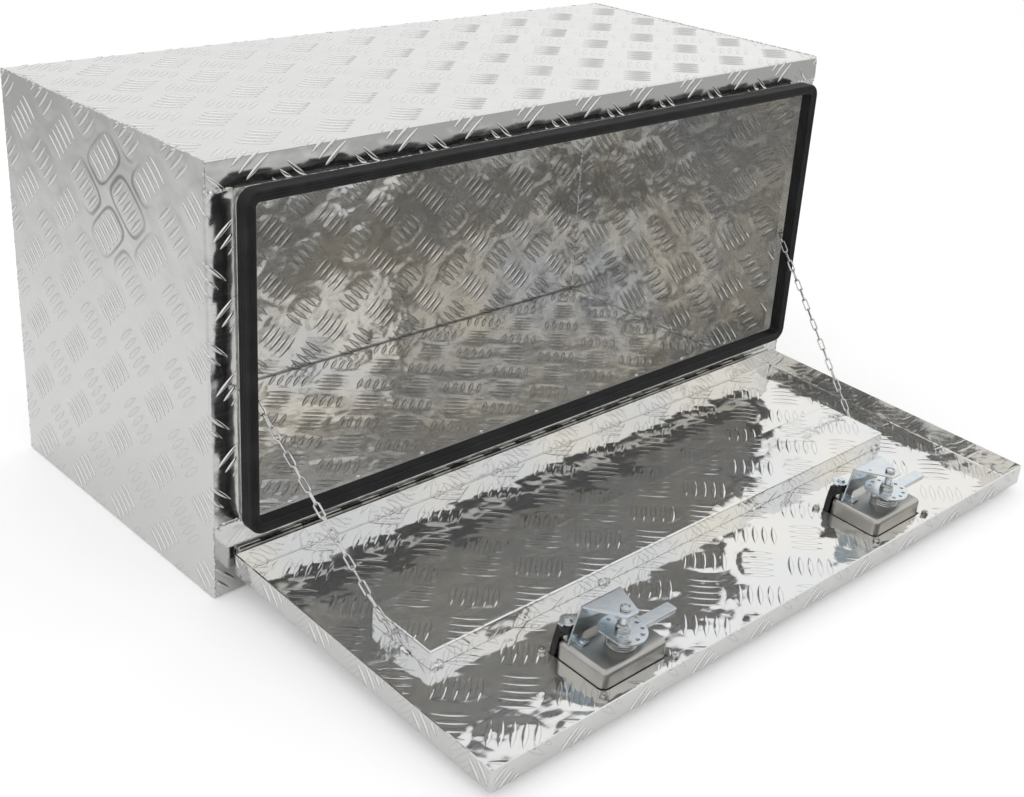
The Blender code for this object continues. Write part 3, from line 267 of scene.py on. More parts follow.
DOOR_LOW, DOOR_HIGH = door_box("door_pan")
WRAP_LOW, WRAP_HIGH = world_box("body_wrap")
LIP_LOW, LIP_HIGH = world_box("opening_lip")
SEAL_LOW, SEAL_HIGH = world_box("door_seal")
HALF_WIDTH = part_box("side_panel_right")[1].x


def latch_centre(side):
    """The middle of a latch's flange on the door's inner panel face, in closed-door coordinates."""
    low, high = door_box(f"latch_dish_{side}")
    panel = DOOR_LOW[1] + settings("sheet").thickness
    return np.array([(low[0] + high[0]) / 2, panel, (low[2] + high[2]) / 2])


def latch_box(node, side, tail=""):
    """A latch node's lowest and highest corner: across, up, height over the panel."""
    low, high = door_box(f"{node}_{side}{tail}")
    centre = latch_centre(side)
    return (low - centre)[[0, 2, 1]], (high - centre)[[0, 2, 1]]


# Mesh building


def grid_faces(rows, columns, closed_rows=False, closed_columns=False, keep=None):
    """Quads between neighbours of a row-by-column grid, wrapping round where it is closed."""
    row, column = np.meshgrid(
        np.arange(rows if closed_rows else rows - 1),
        np.arange(columns if closed_columns else columns - 1),
        indexing="ij",
    )
    below, beside = (row + 1) % rows, (column + 1) % columns
    corners = [row * columns + column, row * columns + beside]
    corners += [below * columns + beside, below * columns + column]
    faces = np.stack(corners, axis=-1).reshape(-1, 4)
    return faces if keep is None else faces[keep.ravel()]


def middles(rows, columns):
    """The middle of each cell of a grid, as two arrays of its rows and columns."""
    return np.meshgrid((rows[1:] + rows[:-1]) / 2, (columns[1:] + columns[:-1]) / 2, indexing="ij")


def joined(chunks):
    """Several (points, faces) pairs as one, with the later faces' indices moved on."""
    points, faces, start = [], [], 0
    for chunk_points, chunk_faces in chunks:
        points.append(chunk_points)
        faces += [[index + start for index in face] for face in as_lists(chunk_faces)]
        start += len(chunk_points)
    return np.concatenate(points), faces


def as_lists(faces):
    """Faces as lists of indices, from an array or from lists."""
    return faces.tolist() if isinstance(faces, np.ndarray) else faces


def as_object(
    name, points, faces, materials, uv=None, merge=True, turn=True, face_like=None,
    sharp=SHARP_DEGREES,
):
    """A mesh object at the origin, with its seams merged and its faces turned out."""
    mesh = bpy.data.meshes.new(name)
    mesh.from_pydata(points.tolist(), [], as_lists(faces))
    if uv is not None:
        corner = np.empty(len(mesh.loops), np.int32)
        mesh.loops.foreach_get("vertex_index", corner)
        layer = mesh.uv_layers.new(name="sheet")
        layer.data.foreach_set("uv", uv[corner].astype(np.float32).ravel())
    if turn:
        tidy_mesh(mesh, merge, face_like)
    for material in materials:
        mesh.materials.append(finish(material))
    shade(mesh, sharp)
    obj = bpy.data.objects.new(name, mesh)
    bpy.context.scene.collection.objects.link(obj)
    return obj


def tidy_mesh(mesh, merge, face_like):
    """Merges seams and poles, drops faces without area, and turns the faces out, or turns them
    so that they add up to the way of face_like."""
    bm = bmesh.new()
    bm.from_mesh(mesh)
    if merge:
        bmesh.ops.remove_doubles(bm, verts=bm.verts, dist=MERGE)
        bmesh.ops.dissolve_degenerate(bm, edges=bm.edges, dist=MERGE)
    bm.normal_update()
    bmesh.ops.recalc_face_normals(bm, faces=bm.faces)
    if face_like is not None:
        total = sum((face.normal * face.calc_area() for face in bm.faces), Vector())
        if total.dot(Vector(face_like)) < 0:
            bmesh.ops.reverse_faces(bm, faces=bm.faces)
    bm.to_mesh(mesh)
    bm.free()


def turn_sheet(mesh, points, faces, way=None):
    """Turns an open sheet's faces away from the sheet's middle, or along a given way."""
    corners = points[np.array(faces)[:, :3]]
    normal = np.cross(corners[:, 1] - corners[:, 0], corners[:, 2] - corners[:, 0])
    if way is None:
        way = corners.mean(axis=1) - (points.min(axis=0) + points.max(axis=0)) / 2
    if (normal * way).sum() < 0:
        mesh.flip_normals()


def shade(mesh, sharp=SHARP_DEGREES):
    """Smooth shading, broken at edges sharper than an angle in degrees."""
    mesh.shade_smooth()
    mesh.set_sharp_from_angle(angle=math.radians(sharp))


def dress(obj, body, replaces=()):
    """Puts a finished piece on its body and hides the CAD nodes that it stands in for."""
    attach(obj, body)
    if replaces:
        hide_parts(*replaces)
    return obj


def add_wall(obj, inner_slot):
    """Gives a sheet its thickness inwards, with the inner side in its own finish, and makes it
    real, so that the cut edges shade sharp."""
    modifier = obj.modifiers.new("wall", "SOLIDIFY")
    modifier.thickness = settings("sheet").thickness
    modifier.offset = -1.0
    modifier.use_even_offset = True
    modifier.material_offset = inner_slot
    bpy.context.view_layer.update()
    flat = obj.data
    name = flat.name
    evaluated = obj.evaluated_get(bpy.context.evaluated_depsgraph_get())
    obj.data = bpy.data.meshes.new_from_object(evaluated)
    obj.modifiers.clear()
    bpy.data.meshes.remove(flat)
    obj.data.name = name
    shade(obj.data)


# Folded sheets


class Fold:
    """A folded profile: arc length, points and outward normals, with the outside on its left."""

    def __init__(self, corners, fold_steps=8):
        radius, step = settings("sheet").fold_radius, settings("sheet").grid_step
        corners = [np.array(corner, float) for corner in corners]
        points, normals, arcs = [], [], []
        travelled, here = 0.0, corners[0]
        for index in range(1, len(corners)):
            way = corners[index] - corners[index - 1]
            way = way / np.linalg.norm(way)
            normal = np.array([-way[1], way[0]])
            last = index == len(corners) - 1
            stop = corners[index] if last else corners[index] - way * radius
            reach = np.linalg.norm(stop - here)
            shares = np.linspace(0.0, 1.0, max(2, math.ceil(reach / step) + 1))
            points.append(here + shares[:, None] * (stop - here))
            normals.append(np.tile(normal, (len(shares), 1)))
            arcs.append(travelled + shares * reach)
            travelled += reach
            if not last:
                centre = stop - normal * radius
                turn = np.linspace(0.0, QUARTER, fold_steps + 1)[1:-1]
                outward = np.cos(turn)[:, None] * normal + np.sin(turn)[:, None] * way
                points.append(centre + radius * outward)
                normals.append(outward)
                arcs.append(travelled + radius * turn)
                travelled += radius * QUARTER
                here = centre + radius * way
        self.arc, self.points, self.normals = map(np.concatenate, (arcs, points, normals))
        self.total = travelled

    def at(self, arc, height=0.0):
        """Points of the profile at arc lengths, lifted off its outside by a height."""
        place = [np.interp(arc, self.arc, self.points[:, n]) for n in (0, 1)]
        normal = [np.interp(arc, self.arc, self.normals[:, n]) for n in (0, 1)]
        return place[0] + normal[0] * height, place[1] + normal[1] * height

    def arc_at(self, point):
        """The arc length nearest a point of the profile."""
        fine = np.linspace(0.0, self.total, 4001)
        across, up = self.at(fine)
        return fine[np.argmin((across - point[0]) ** 2 + (up - point[1]) ** 2)]


def with_lines(values, *lines):
    """Sample places with the given lines added, for cuts that must fall on a grid line."""
    return np.unique(np.round(np.concatenate([values, lines]), 7))


def wrap_fold():
    """The wrap's profile in Y and Z, from the header's lower edge over the top to the sill."""
    sheet = settings("sheet")
    low, high = WRAP_LOW, WRAP_HIGH
    corners = [
        (low[1], high[2] - sheet.header_height),
        (low[1], high[2]),
        (high[1], high[2]),
        (high[1], low[2]),
        (low[1], low[2]),
        (low[1], sheet.sill_height),
    ]
    return Fold(corners)


def side_fold(hand):
    """A side's profile in X and Y: its stile, the front fold and the side itself."""
    outer = hand * HALF_WIDTH
    inner = outer - hand * settings("sheet").stile_width
    corners = [(inner, WRAP_LOW[1]), (outer, WRAP_LOW[1]), (outer, WRAP_HIGH[1])]
    return Fold(corners if hand < 0 else corners[::-1])


def tread_uv(long_way, short_way, origin, hand=1):
    """Sheet coordinates in metres, counted from the middle of one group of bars."""
    return np.stack([hand * (long_way - origin[0]), short_way - origin[1]], axis=-1).reshape(-1, 2)


def wrap_origin(fold):
    """Where a group of bars lies on the wrap: across the box, and along the fold."""
    tread = settings("tread")
    row = fold.arc_at((WRAP_LOW[1] + tread.top_row, WRAP_HIGH[2]))
    return tread.top_column - HALF_WIDTH, row


def side_origin(fold, hand):
    """Where a group of bars lies on a side: along the fold, and up it."""
    tread = settings("tread")
    return fold.arc_at((hand * HALF_WIDTH, WRAP_LOW[1] + tread.side_column)), tread.side_row


def door_origin():
    """Where a group of bars lies on the door: across it, and up from the pin."""
    tread = settings("tread")
    return np.array([tread.top_column - HALF_WIDTH, tread.top_row])


def bar_shape():
    """One bar: a lens along its length and a low arch across it, closed under the sheet."""
    stations = np.linspace(-1.0, 1.0, 9)[1:-1]
    across = np.array([-1.0, -0.72, 0.0, 0.72, 1.0])
    rise = np.array([-0.5, 0.86, 1.0, 0.86, -0.5])
    swell = 1.0 - stations**2
    along = np.repeat(stations, len(across))
    side = np.outer(swell, across).ravel()
    height = (rise * np.where(rise > 0, swell[:, None] ** 0.35, 1.0)).ravel()
    poles = np.array([[-1.0, 0.0, -0.5], [1.0, 0.0, -0.5]])
    points = np.concatenate([np.stack([along, side, height], axis=1), poles])
    width, rings = len(across), len(stations)
    quads = grid_faces(rings, width, closed_columns=True)
    here = np.arange(width)
    after, base = (here + 1) % width, (rings - 1) * width
    first, last = np.full(width, rings * width), np.full(width, rings * width + 1)
    ends = np.stack([[first, after, here], [last, base + here, base + after]], axis=1)
    return points, quads, ends.transpose(2, 1, 0).reshape(-1, 3)


def tread_bars(name, body, place, spans, origin, lean, covered=()):
    """Five-bar groups on two staggered lattices, laid out flat and carried onto the sheet.

    A point of a bar is centre + a * half length * d + b * half width * e, where d and e are the
    pattern's two diagonals and a, b run from -1 to 1. Bars that cross a cut edge stop at it.
    """
    tread = settings("tread")
    pitch = np.array([tread.pitch_long, tread.pitch_short])
    diagonal = np.linalg.norm(pitch)
    template, quads, ends = bar_shape()
    low, high = np.array(spans, float).T
    centres, leans = [], []
    for shift, way in ((0.0, lean), (0.5, -lean)):
        first = np.floor((low - origin) / pitch - shift) - 1
        last = np.ceil((high - origin) / pitch - shift) + 1
        index = np.stack(
            np.meshgrid(*(np.arange(a, b + 1) for a, b in zip(first, last)), indexing="ij"), axis=-1
        ).reshape(-1, 2)
        middle = np.array(origin) + (index + shift) * pitch
        bar_way = pitch * [1, way] / diagonal
        row_way = pitch * [1, -way] / diagonal
        steps = np.arange(-2, 3) * tread.bar_spacing
        middle = (middle[:, None, :] + steps[None, :, None] * row_way).reshape(-1, 2)
        centres.append(middle)
        leans.append(np.tile(np.concatenate([bar_way, row_way]), (len(middle), 1)))
    centres, leans = np.concatenate(centres), np.concatenate(leans)
    half = np.abs(leans[:, :2]) * tread.bar_length / 2
    inside = np.all((centres + half > low) & (centres - half < high), axis=1)
    for box_low, box_high in covered:
        inside &= ~np.all((centres > box_low) & (centres < box_high), axis=1)
    centres, leans = centres[inside], leans[inside]
    along = template[:, 0] * tread.bar_length / 2
    side = template[:, 1] * tread.bar_width / 2
    flat = (
        centres[:, None, :]
        + along[None, :, None] * leans[:, None, :2]
        + side[None, :, None] * leans[:, None, 2:]
    )
    cut = np.any((flat < low) | (flat > high), axis=2).ravel()
    flat = np.clip(flat, low, high).reshape(-1, 2)
    rise = np.tile(template[:, 2] * tread.bar_height, len(centres))
    rise = np.where(cut, -tread.bar_height / 2, rise)
    points = place(flat[:, 0], flat[:, 1], rise)
    starts = (np.arange(len(centres)) * len(template))[:, None, None]
    faces = (quads + starts).reshape(-1, 4).tolist() + (ends + starts).reshape(-1, 3).tolist()
    obj = as_object(name, points, faces, ["tread_bar"], merge=False, sharp=BAR_SHARP_DEGREES)
    dress(obj, body)


def ring_round(xs, zs, fan_steps):
    """The core line and outward ways round a rectangle in X and Z, fanned at its corners.

    A point at a distance r out from the corners' centres is core + r * way, all round.
    """
    sides = [
        (xs, np.full_like(xs, zs[0])),
        (np.full_like(zs, xs[-1]), zs),
        (xs[::-1], np.full_like(xs, zs[-1])),
        (np.full_like(zs, xs[0]), zs[::-1]),
    ]
    core, way = [], []
    for side, angle in zip(sides, (-QUARTER, 0.0, QUARTER, math.pi)):
        line = np.stack(side, axis=1)
        fan = angle + np.linspace(0.0, QUARTER, fan_steps + 1)[1:-1]
        core += [line, np.tile(line[-1], (len(fan), 1))]
        way.append(np.tile([math.cos(angle), math.sin(angle)], (len(line), 1)))
        way.append(np.stack([np.cos(fan), np.sin(fan)], axis=1))
    return np.concatenate(core), np.concatenate(way)


def opening_ring(low, high, radius, step=0.02):
    """The ring of a round-cornered opening in X and Z, with points a step apart."""
    lines = []
    for axis in (0, 2):
        start, end = low[axis] + radius, high[axis] - radius
        lines.append(np.linspace(start, end, math.ceil((end - start) / step) + 1))
    return ring_round(*lines, 10)


def carried_round(core, way, radii, depths):
    """A section carried round a ring: radii out from the core, at depths along Y."""
    place = core[None] + radii[:, None, None] * way[None]
    depth = np.repeat(depths, len(core)).reshape(len(depths), len(core))
    return np.stack([place[..., 0], depth, place[..., 1]], axis=-1).reshape(-1, 3)


def tray(low, high, radius, base, rim, step, windows=()):
    """A sheet tray: a flat panel at y = base, and a wall swept round it to y = rim.

    The panel is a grid in x and z, less its windows. The wall's points are core + d * reach(t),
    where d is the side's outward way, fanned round the corners, and t runs up the fold and wall.
    """
    lines = []
    for axis in (0, 2):
        start, end = low[axis] + radius, high[axis] - radius
        cuts = [corner[axis] for window in windows for corner in window]
        lines.append(
            with_lines(np.linspace(start, end, math.ceil((end - start) / step) + 1), *cuts)
        )
    xs, zs = lines
    x, z = np.meshgrid(xs, zs)
    panel = np.stack([x, np.full_like(x, base), z], axis=-1).reshape(-1, 3)
    mid_z, mid_x = middles(zs, xs)
    keep = np.ones(mid_x.shape, bool)
    for first, last in windows:
        inside = (mid_x > first[0]) & (mid_x < last[0]) & (mid_z > first[2]) & (mid_z < last[2])
        keep &= ~inside
    panel_faces = grid_faces(len(zs), len(xs), keep=keep)
    core, way = ring_round(xs, zs, 5)
    turn = np.linspace(0.0, QUARTER, 7)
    wall = np.linspace(0.0, abs(rim - base) - radius, 4)[1:]
    reach = np.concatenate([radius * np.sin(turn), np.full(len(wall), radius)])
    lift = np.concatenate([radius * (1 - np.cos(turn)), radius + wall])
    arc = np.concatenate([radius * turn, radius * QUARTER + wall])
    skirt = carried_round(core, way, reach, base + math.copysign(1.0, rim - base) * lift)
    skirt_faces = grid_faces(len(lift), len(core), closed_columns=True)
    points, faces = joined([(panel, panel_faces), (skirt, skirt_faces)])
    flat = core[None] + arc[:, None, None] * way[None]
    uv = np.concatenate([panel[:, [0, 2]], flat.reshape(-1, 2)]) - door_origin()
    return points, faces, uv


# Turned shapes, wires and plates


def rounded(corners, radii, steps=6):
    """An outline with an arc at each corner, whichever way the corner turns."""
    points = []
    corners = [np.array(corner, float) for corner in corners]
    for index, (here, radius) in enumerate(zip(corners, radii)):
        back = corners[index - 1] - here
        ahead = corners[(index + 1) % len(corners)] - here
        back, ahead = back / np.linalg.norm(back), ahead / np.linalg.norm(ahead)
        half = math.acos(np.clip(back @ ahead, -1, 1)) / 2
        middle = back + ahead
        centre = here + middle / np.linalg.norm(middle) * radius / math.sin(half)
        start, end = here + back * radius / math.tan(half), here + ahead * radius / math.tan(half)
        first, last = start - centre, end - centre
        sweep = math.pi - 2 * half
        turn = np.linspace(0.0, 1.0, steps + 1)[:, None]
        arc = (np.sin((1 - turn) * sweep) * first + np.sin(turn * sweep) * last) / math.sin(sweep)
        points.append(centre + arc)
    return np.concatenate(points)


def rectangle(low, high, radius, steps=6):
    """A rectangle's outline with round corners."""
    corners = [(low[0], low[1]), (high[0], low[1]), (high[0], high[1]), (low[0], high[1])]
    return rounded(corners, [radius] * 4, steps)


def circle(radius, sides, centre=(0.0, 0.0)):
    """Points round a circle."""
    turn = np.arange(sides) * math.tau / sides
    return np.stack([centre[0] + radius * np.cos(turn), centre[1] + radius * np.sin(turn)], axis=1)


def levelled(outline, level):
    """A flat outline at a height."""
    return np.column_stack([outline, np.full(len(outline), level)])


def stacked(rings, first_cap=True, last_cap=True):
    """Rings of equal length, each joined to the next, with flat faces over the closed ends."""
    width = len(rings[0])
    faces = grid_faces(len(rings), width, closed_columns=True).tolist()
    if first_cap:
        faces.append(list(range(width))[::-1])
    if last_cap:
        faces.append(list(range((len(rings) - 1) * width, len(rings) * width)))
    return np.concatenate(rings), faces


def swept(radii, heights, turn, centre, closed):
    """Rows of radii and heights round an axis: (centre + r cos t, centre + r sin t, height)."""
    x, up = centre[0] + radii * np.cos(turn), centre[1] + radii * np.sin(turn)
    points = np.stack([x, up, np.broadcast_to(heights, x.shape)], axis=-1).reshape(-1, 3)
    return points, grid_faces(len(radii), len(turn), closed_rows=closed, closed_columns=True)


def turned(profile, sides, centre, closed=False):
    """A profile of (radius, height) turned about the height axis at a centre."""
    radii, heights = np.array(profile, float).T[:, :, None]
    return swept(radii, heights, np.arange(sides) * math.tau / sides, centre, closed)


def stub(radius, low, high, sides, centre):
    """A plain cylinder."""
    return turned([(0.0, low), (radius, low), (radius, high), (0.0, high)], sides, centre)


def washer(hole, radius, low, high, sides, centre):
    """A flat ring."""
    profile = [(hole, low), (radius, low), (radius, high), (hole, high)]
    return turned(profile, sides, centre, closed=True)


def nut(flats, hole, low, high, centre, turn=0.0, sides=48):
    """A nut: the hexagon's radius round the axis, cut back by a cone at both faces."""
    angle = np.arange(sides) * math.tau / sides
    hexagon = flats / 2 / np.cos((angle - turn) % (math.pi / 3) - math.pi / 6)
    round_top = np.minimum(hexagon, flats / 2 * 1.03)
    drop = (hexagon - round_top) * 0.6
    flat = np.zeros(sides)
    bore = flat + hole
    radii = np.stack([bore, bore, round_top, hexagon, hexagon, round_top])
    heights = [flat + low, flat + high, flat + high, high - drop, low + drop, flat + low]
    return swept(radii, np.stack(heights), angle, centre, True)


def threaded(radius, low, high, pitch, depth, centre, sides=20):
    """A threaded rod: radius less depth times a triangle wave of height / pitch + turn."""
    rows = max(8, math.ceil((high - low) / pitch * 4))
    heights = np.linspace(low, high, rows + 1)
    turn = np.arange(sides) / sides
    wave = np.abs((heights[:, None] / pitch + turn) % 1.0 - 0.5) * 2
    radii = radius - depth * wave
    pole = np.zeros((1, sides))
    radii = np.concatenate([pole, radii[:1] * 0.9, radii, radii[-1:] * 0.85, pole])
    heights = np.concatenate([[low, low], heights, [high + depth, high + depth]])
    return swept(radii, heights[:, None], turn * math.tau, centre, False)


def tube(line, normal, binormal, radius, sides, closed):
    """A round wire: line + radius * (normal cos + binormal sin), closed or with flat ends."""
    turn = np.arange(sides) * math.tau / sides
    radius = np.broadcast_to(radius, (len(line),))
    ring = normal[:, None] * np.cos(turn)[None, :, None]
    ring = ring + binormal[:, None] * np.sin(turn)[None, :, None]
    points = line[:, None] + radius[:, None, None] * ring
    if not closed:
        ends = [np.repeat(end, sides, 0)[None] for end in (line[:1], line[-1:])]
        points = np.concatenate([ends[0], points, ends[1]])
    faces = grid_faces(len(points), sides, closed_rows=closed, closed_columns=True)
    return points.reshape(-1, 3), faces


def plate(outlines, low, high, edge=0.0003):
    """A flat plate with rounded edges, from an outline and the holes in it."""
    curve = bpy.data.curves.new("plate", "CURVE")
    curve.dimensions = "2D"
    curve.fill_mode = "BOTH"
    curve.extrude = (high - low) / 2 - edge
    curve.bevel_depth = edge
    curve.bevel_resolution = 1
    curve.offset = -edge
    for outline in outlines:
        spline = curve.splines.new("POLY")
        spline.points.add(len(outline) - 1)
        spline.points.foreach_set("co", levelled(levelled(outline, 0.0), 1.0).ravel())
        spline.use_cyclic_u = True
    guide = bpy.data.objects.new("plate", curve)
    bpy.context.scene.collection.objects.link(guide)
    bpy.context.view_layer.update()
    evaluated = guide.evaluated_get(bpy.context.evaluated_depsgraph_get())
    mesh = bpy.data.meshes.new_from_object(evaluated)
    points = np.empty(len(mesh.vertices) * 3, np.float32)
    mesh.vertices.foreach_get("co", points)
    faces = [list(face.vertices) for face in mesh.polygons]
    bpy.data.objects.remove(guide)
    bpy.data.curves.remove(curve)
    bpy.data.meshes.remove(mesh)
    return points.reshape(-1, 3) + [0.0, 0.0, (high + low) / 2], faces


def standing(outline, near, far, edge=0.0003):
    """A plate that stands up from the door: its outline gives across and height."""
    points, faces = plate([outline], near, far, edge)
    return points[:, [0, 2, 1]], faces


# Finishes


def maths(operation):
    """A method that adds one maths node."""

    def write(self, *inputs, clamp=False):
        return self.add("ShaderNodeMath", inputs, operation=operation, use_clamp=clamp)

    return write


class Nodes:
    """A short way to write a node tree: each call adds a node and returns an output of it."""

    plus, minus, times = maths("ADD"), maths("SUBTRACT"), maths("MULTIPLY")
    over, least, most = maths("DIVIDE"), maths("MINIMUM"), maths("MAXIMUM")
    size, power, whole = maths("ABSOLUTE"), maths("POWER"), maths("ROUND")

    def __init__(self, tree):
        self.tree = tree

    def fill(self, node, inputs):
        """Links or sets a node's inputs, by name or number."""
        for key, value in inputs.items():
            if isinstance(value, bpy.types.NodeSocket):
                self.tree.links.new(value, node.inputs[key])
            elif value is not None:
                node.inputs[key].default_value = value
        return node

    def add(self, kind, inputs=(), output=0, **options):
        node = self.tree.nodes.new(kind)
        for name, value in options.items():
            setattr(node, name, value)
        inputs = inputs if isinstance(inputs, dict) else dict(enumerate(inputs))
        return self.fill(node, inputs).outputs[output]

    def vector(self, operation, *inputs, output=0):
        return self.add("ShaderNodeVectorMath", inputs, output, operation=operation)

    def parts(self, vector):
        """A vector's X, Y and Z."""
        return self.fill(self.tree.nodes.new("ShaderNodeSeparateXYZ"), {0: vector}).outputs

    def ramp(self, value, low, high, to_low=0.0, to_high=1.0, smooth=True):
        kind = "SMOOTHSTEP" if smooth else "LINEAR"
        inputs = (value, low, high, to_low, to_high)
        return self.add("ShaderNodeMapRange", inputs, interpolation_type=kind)

    def mix(self, factor, first, second):
        """Mixes two colours, each an output or three numbers."""
        inputs = {0: factor}
        for key, value in ((6, first), (7, second)):
            inputs[key] = value if isinstance(value, bpy.types.NodeSocket) else (*value, 1.0)
        return self.add("ShaderNodeMix", inputs, output=2, data_type="RGBA")

    def noise(self, vector, scale, detail=2.0, roughness=0.5):
        inputs = {"Vector": vector, "Scale": scale, "Detail": detail, "Roughness": roughness}
        return self.add("ShaderNodeTexNoise", inputs)

    def group(self, tree, **inputs):
        """Places a node group and returns all its outputs."""
        node = self.tree.nodes.new("ShaderNodeGroup")
        node.node_tree = tree
        return self.fill(node, inputs).outputs


class Finish(Nodes):
    """A material: its Principled shader, its place and the waves and grain of its surface."""

    def __init__(self, name, metallic):
        self.material = bpy.data.materials.new(name)
        self.material.use_nodes = True
        super().__init__(self.material.node_tree)
        self.shader = self.tree.nodes["Principled BSDF"]
        self.fill(self.shader, {"Metallic": metallic})
        self.place = self.add("ShaderNodeTexCoord", output=3)

    def surface(self):
        return self.group(waves_group(), Place=self.place)

    def tread(self):
        """The tread pattern's masks, on the sheet's own UV map."""
        sheet = self.add("ShaderNodeUVMap", uv_map="sheet")
        return self.group(tread_group(), Sheet=sheet, Lean=-1.0)

    def done(self, base, rough, *layers):
        """Feeds the shader: bump layers lie one over the other, each (height, metres)."""
        normal = None
        for height, distance in layers:
            inputs = {"Strength": 1.0, "Distance": distance, "Height": height, "Normal": normal}
            normal = self.add("ShaderNodeBump", inputs)
        self.fill(self.shader, {"Base Color": base, "Roughness": rough, "Normal": normal})
        return self.material


def group_tree(name, inputs, outputs):
    """An empty shader node group with named sockets, and its writer, source and result."""
    tree = bpy.data.node_groups.new(name, "ShaderNodeTree")
    for label, kind, default in inputs:
        socket = tree.interface.new_socket(name=label, in_out="INPUT", socket_type=kind)
        if default is not None:
            socket.default_value = default
    for label in outputs:
        tree.interface.new_socket(name=label, in_out="OUTPUT", socket_type="NodeSocketFloat")
    return Nodes(tree), tree.nodes.new("NodeGroupInput").outputs, tree.nodes.new("NodeGroupOutput")


def tread_group():
    """Masks of the tread pattern on sheet coordinates: the bars, the line round them, the groups.

    With f the place in the cell of its lattice, as a share of the pitch, the place along a bar is
    (fx + fy) * n / 2 and across the group (fx - fy) * n / 2, where n is the cell's diagonal.
    """
    found = bpy.data.node_groups.get("tread_pattern")
    if found:
        return found
    tread = settings("tread")
    inputs = [("Sheet", "NodeSocketVector", None), ("Lean", "NodeSocketFloat", 1.0)]
    make, source, result = group_tree("tread_pattern", inputs, ("Bars", "Rim", "Groups", "Ring"))
    pitch = (tread.pitch_long, tread.pitch_short, 1.0)
    half_diagonal = math.hypot(tread.pitch_long, tread.pitch_short) / 2
    thinnest, end_start, end_fade, spacings_to_edge = 0.03, 0.97, 40.0, 2.6
    lattices = []
    for shift, hand in ((0.5, 1.0), (0.0, -1.0)):
        cell = make.vector("DIVIDE", source["Sheet"], pitch)
        cell = make.vector("FRACTION", make.vector("ADD", cell, (shift, shift, 0.0)))
        x, y, _ = make.parts(make.vector("SUBTRACT", cell, (0.5, 0.5, 0.0)))
        sloped = make.times(make.times(y, source["Lean"]), hand)
        along = make.times(make.plus(x, sloped), half_diagonal)
        across = make.times(make.minus(x, sloped), half_diagonal)
        step = make.whole(make.over(across, tread.bar_spacing))
        step = make.least(make.most(step, -2.0), 2.0)
        off = make.minus(across, make.times(step, tread.bar_spacing))
        reach = make.over(along, tread.bar_length / 2)
        square = make.times(reach, reach)
        swell = make.most(make.minus(1.0, square), thinnest)
        ratio = make.over(make.over(make.size(off), swell), tread.bar_width / 2)
        past = make.most(make.minus(square, end_start), 0.0)
        ratio = make.plus(ratio, make.times(past, end_fade))
        wide = make.over(across, spacings_to_edge * tread.bar_spacing)
        spread = make.plus(make.times(wide, wide), square)
        block = make.plus(make.power(make.size(wide), 4.0), make.power(make.size(reach), 4.0))
        lattices.append((ratio, spread, block))
    ratio, spread, block = (make.least(*pair) for pair in zip(*lattices))
    masks = {
        "Bars": make.ramp(ratio, 1.25, 0.2),
        "Rim": make.times(make.ramp(ratio, 0.8, 1.1), make.ramp(ratio, 1.75, 1.15)),
        "Groups": make.ramp(spread, 1.7, 0.35),
        "Ring": make.times(make.ramp(block, 0.80, 1.3), make.ramp(block, 2.2, 1.5)),
    }
    make.fill(result, masks)
    return make.tree


def waves_group():
    """A rolled sheet's slow waves, its fine draw lines as the grain, and its scuffs."""
    found = bpy.data.node_groups.get("sheet_surface")
    if found:
        return found
    inputs = [("Place", "NodeSocketVector", None)]
    make, source, result = group_tree("sheet_surface", inputs, ("Waves", "Grain", "Scuffs"))
    place = source["Place"]
    slow, middle = make.noise(place, 5.0, 1.0), make.noise(place, 22.0, 2.0)
    drawn = make.noise(make.vector("MULTIPLY", place, (12.0, 420.0, 420.0)), 1.0, 3.0, 0.65)
    scuffs = make.noise(make.vector("MULTIPLY", place, (260.0, 60.0, 90.0)), 1.0, 4.0, 0.7)
    waves = make.plus(slow, make.times(middle, 0.22))
    make.fill(result, {"Waves": waves, "Grain": drawn, "Scuffs": make.ramp(scuffs, 0.56, 0.78)})
    return make.tree


def stile_pull(make):
    """Depth of the stiles, which their welds draw in towards the seal, as a share of the slope."""
    sheet = settings("sheet")
    x, y, z = make.parts(make.place)
    inward = make.minus(HALF_WIDTH, make.size(x))
    inward = make.least(make.most(inward, 0.0), sheet.stile_width)
    front = make.ramp(y, WRAP_LOW[1] + 0.0020, WRAP_LOW[1] + 0.0010)
    low, high = sheet.sill_height, WRAP_HIGH[2] - sheet.header_height
    between = make.times(make.ramp(z, low, low + 0.02), make.ramp(z, high, high - 0.01))
    return make.times(make.times(inward, make.times(front, -1.0)), between)


def plate_outside():
    """Bright outer side: grey painted shade round the bars, slow waves and fine draw lines.

    Within 70 to 110 mm of the bruise, high on the left side, a stain darkens it further.
    """
    colours = settings("finish")
    make = Finish("plate_outside", 1.0)
    tread, surface = make.tread(), make.surface()
    # painted shade: the grey line round the bars stands for the shade at their sides; scuffs and
    # the bruise's stain add real wear and dirt
    darkening = make.plus(make.times(tread["Rim"], 0.20), make.times(surface["Scuffs"], 0.06))
    bruise = (-HALF_WIDTH, -0.040, 0.375)
    away = make.vector("DISTANCE", make.place, bruise, output=1)
    stain = make.ramp(make.plus(away, make.times(surface["Waves"], 0.05)), 0.110, 0.070)
    stain = make.times(stain, make.plus(tread["Ring"], make.times(tread["Rim"], 0.5)))
    darkening = make.plus(darkening, make.times(stain, 0.9), clamp=True)
    return make.done(
        make.mix(darkening, colours.plate_outside, colours.shade_and_grime),
        make.ramp(surface["Grain"], 0.3, 0.75, 0.10, 0.20),
        (surface["Waves"], 0.008),
        (surface["Grain"], GRAIN_DEPTH),
        (tread["Groups"], 0.0003),
        (stile_pull(make), settings("sheet").stile_slope),
    )


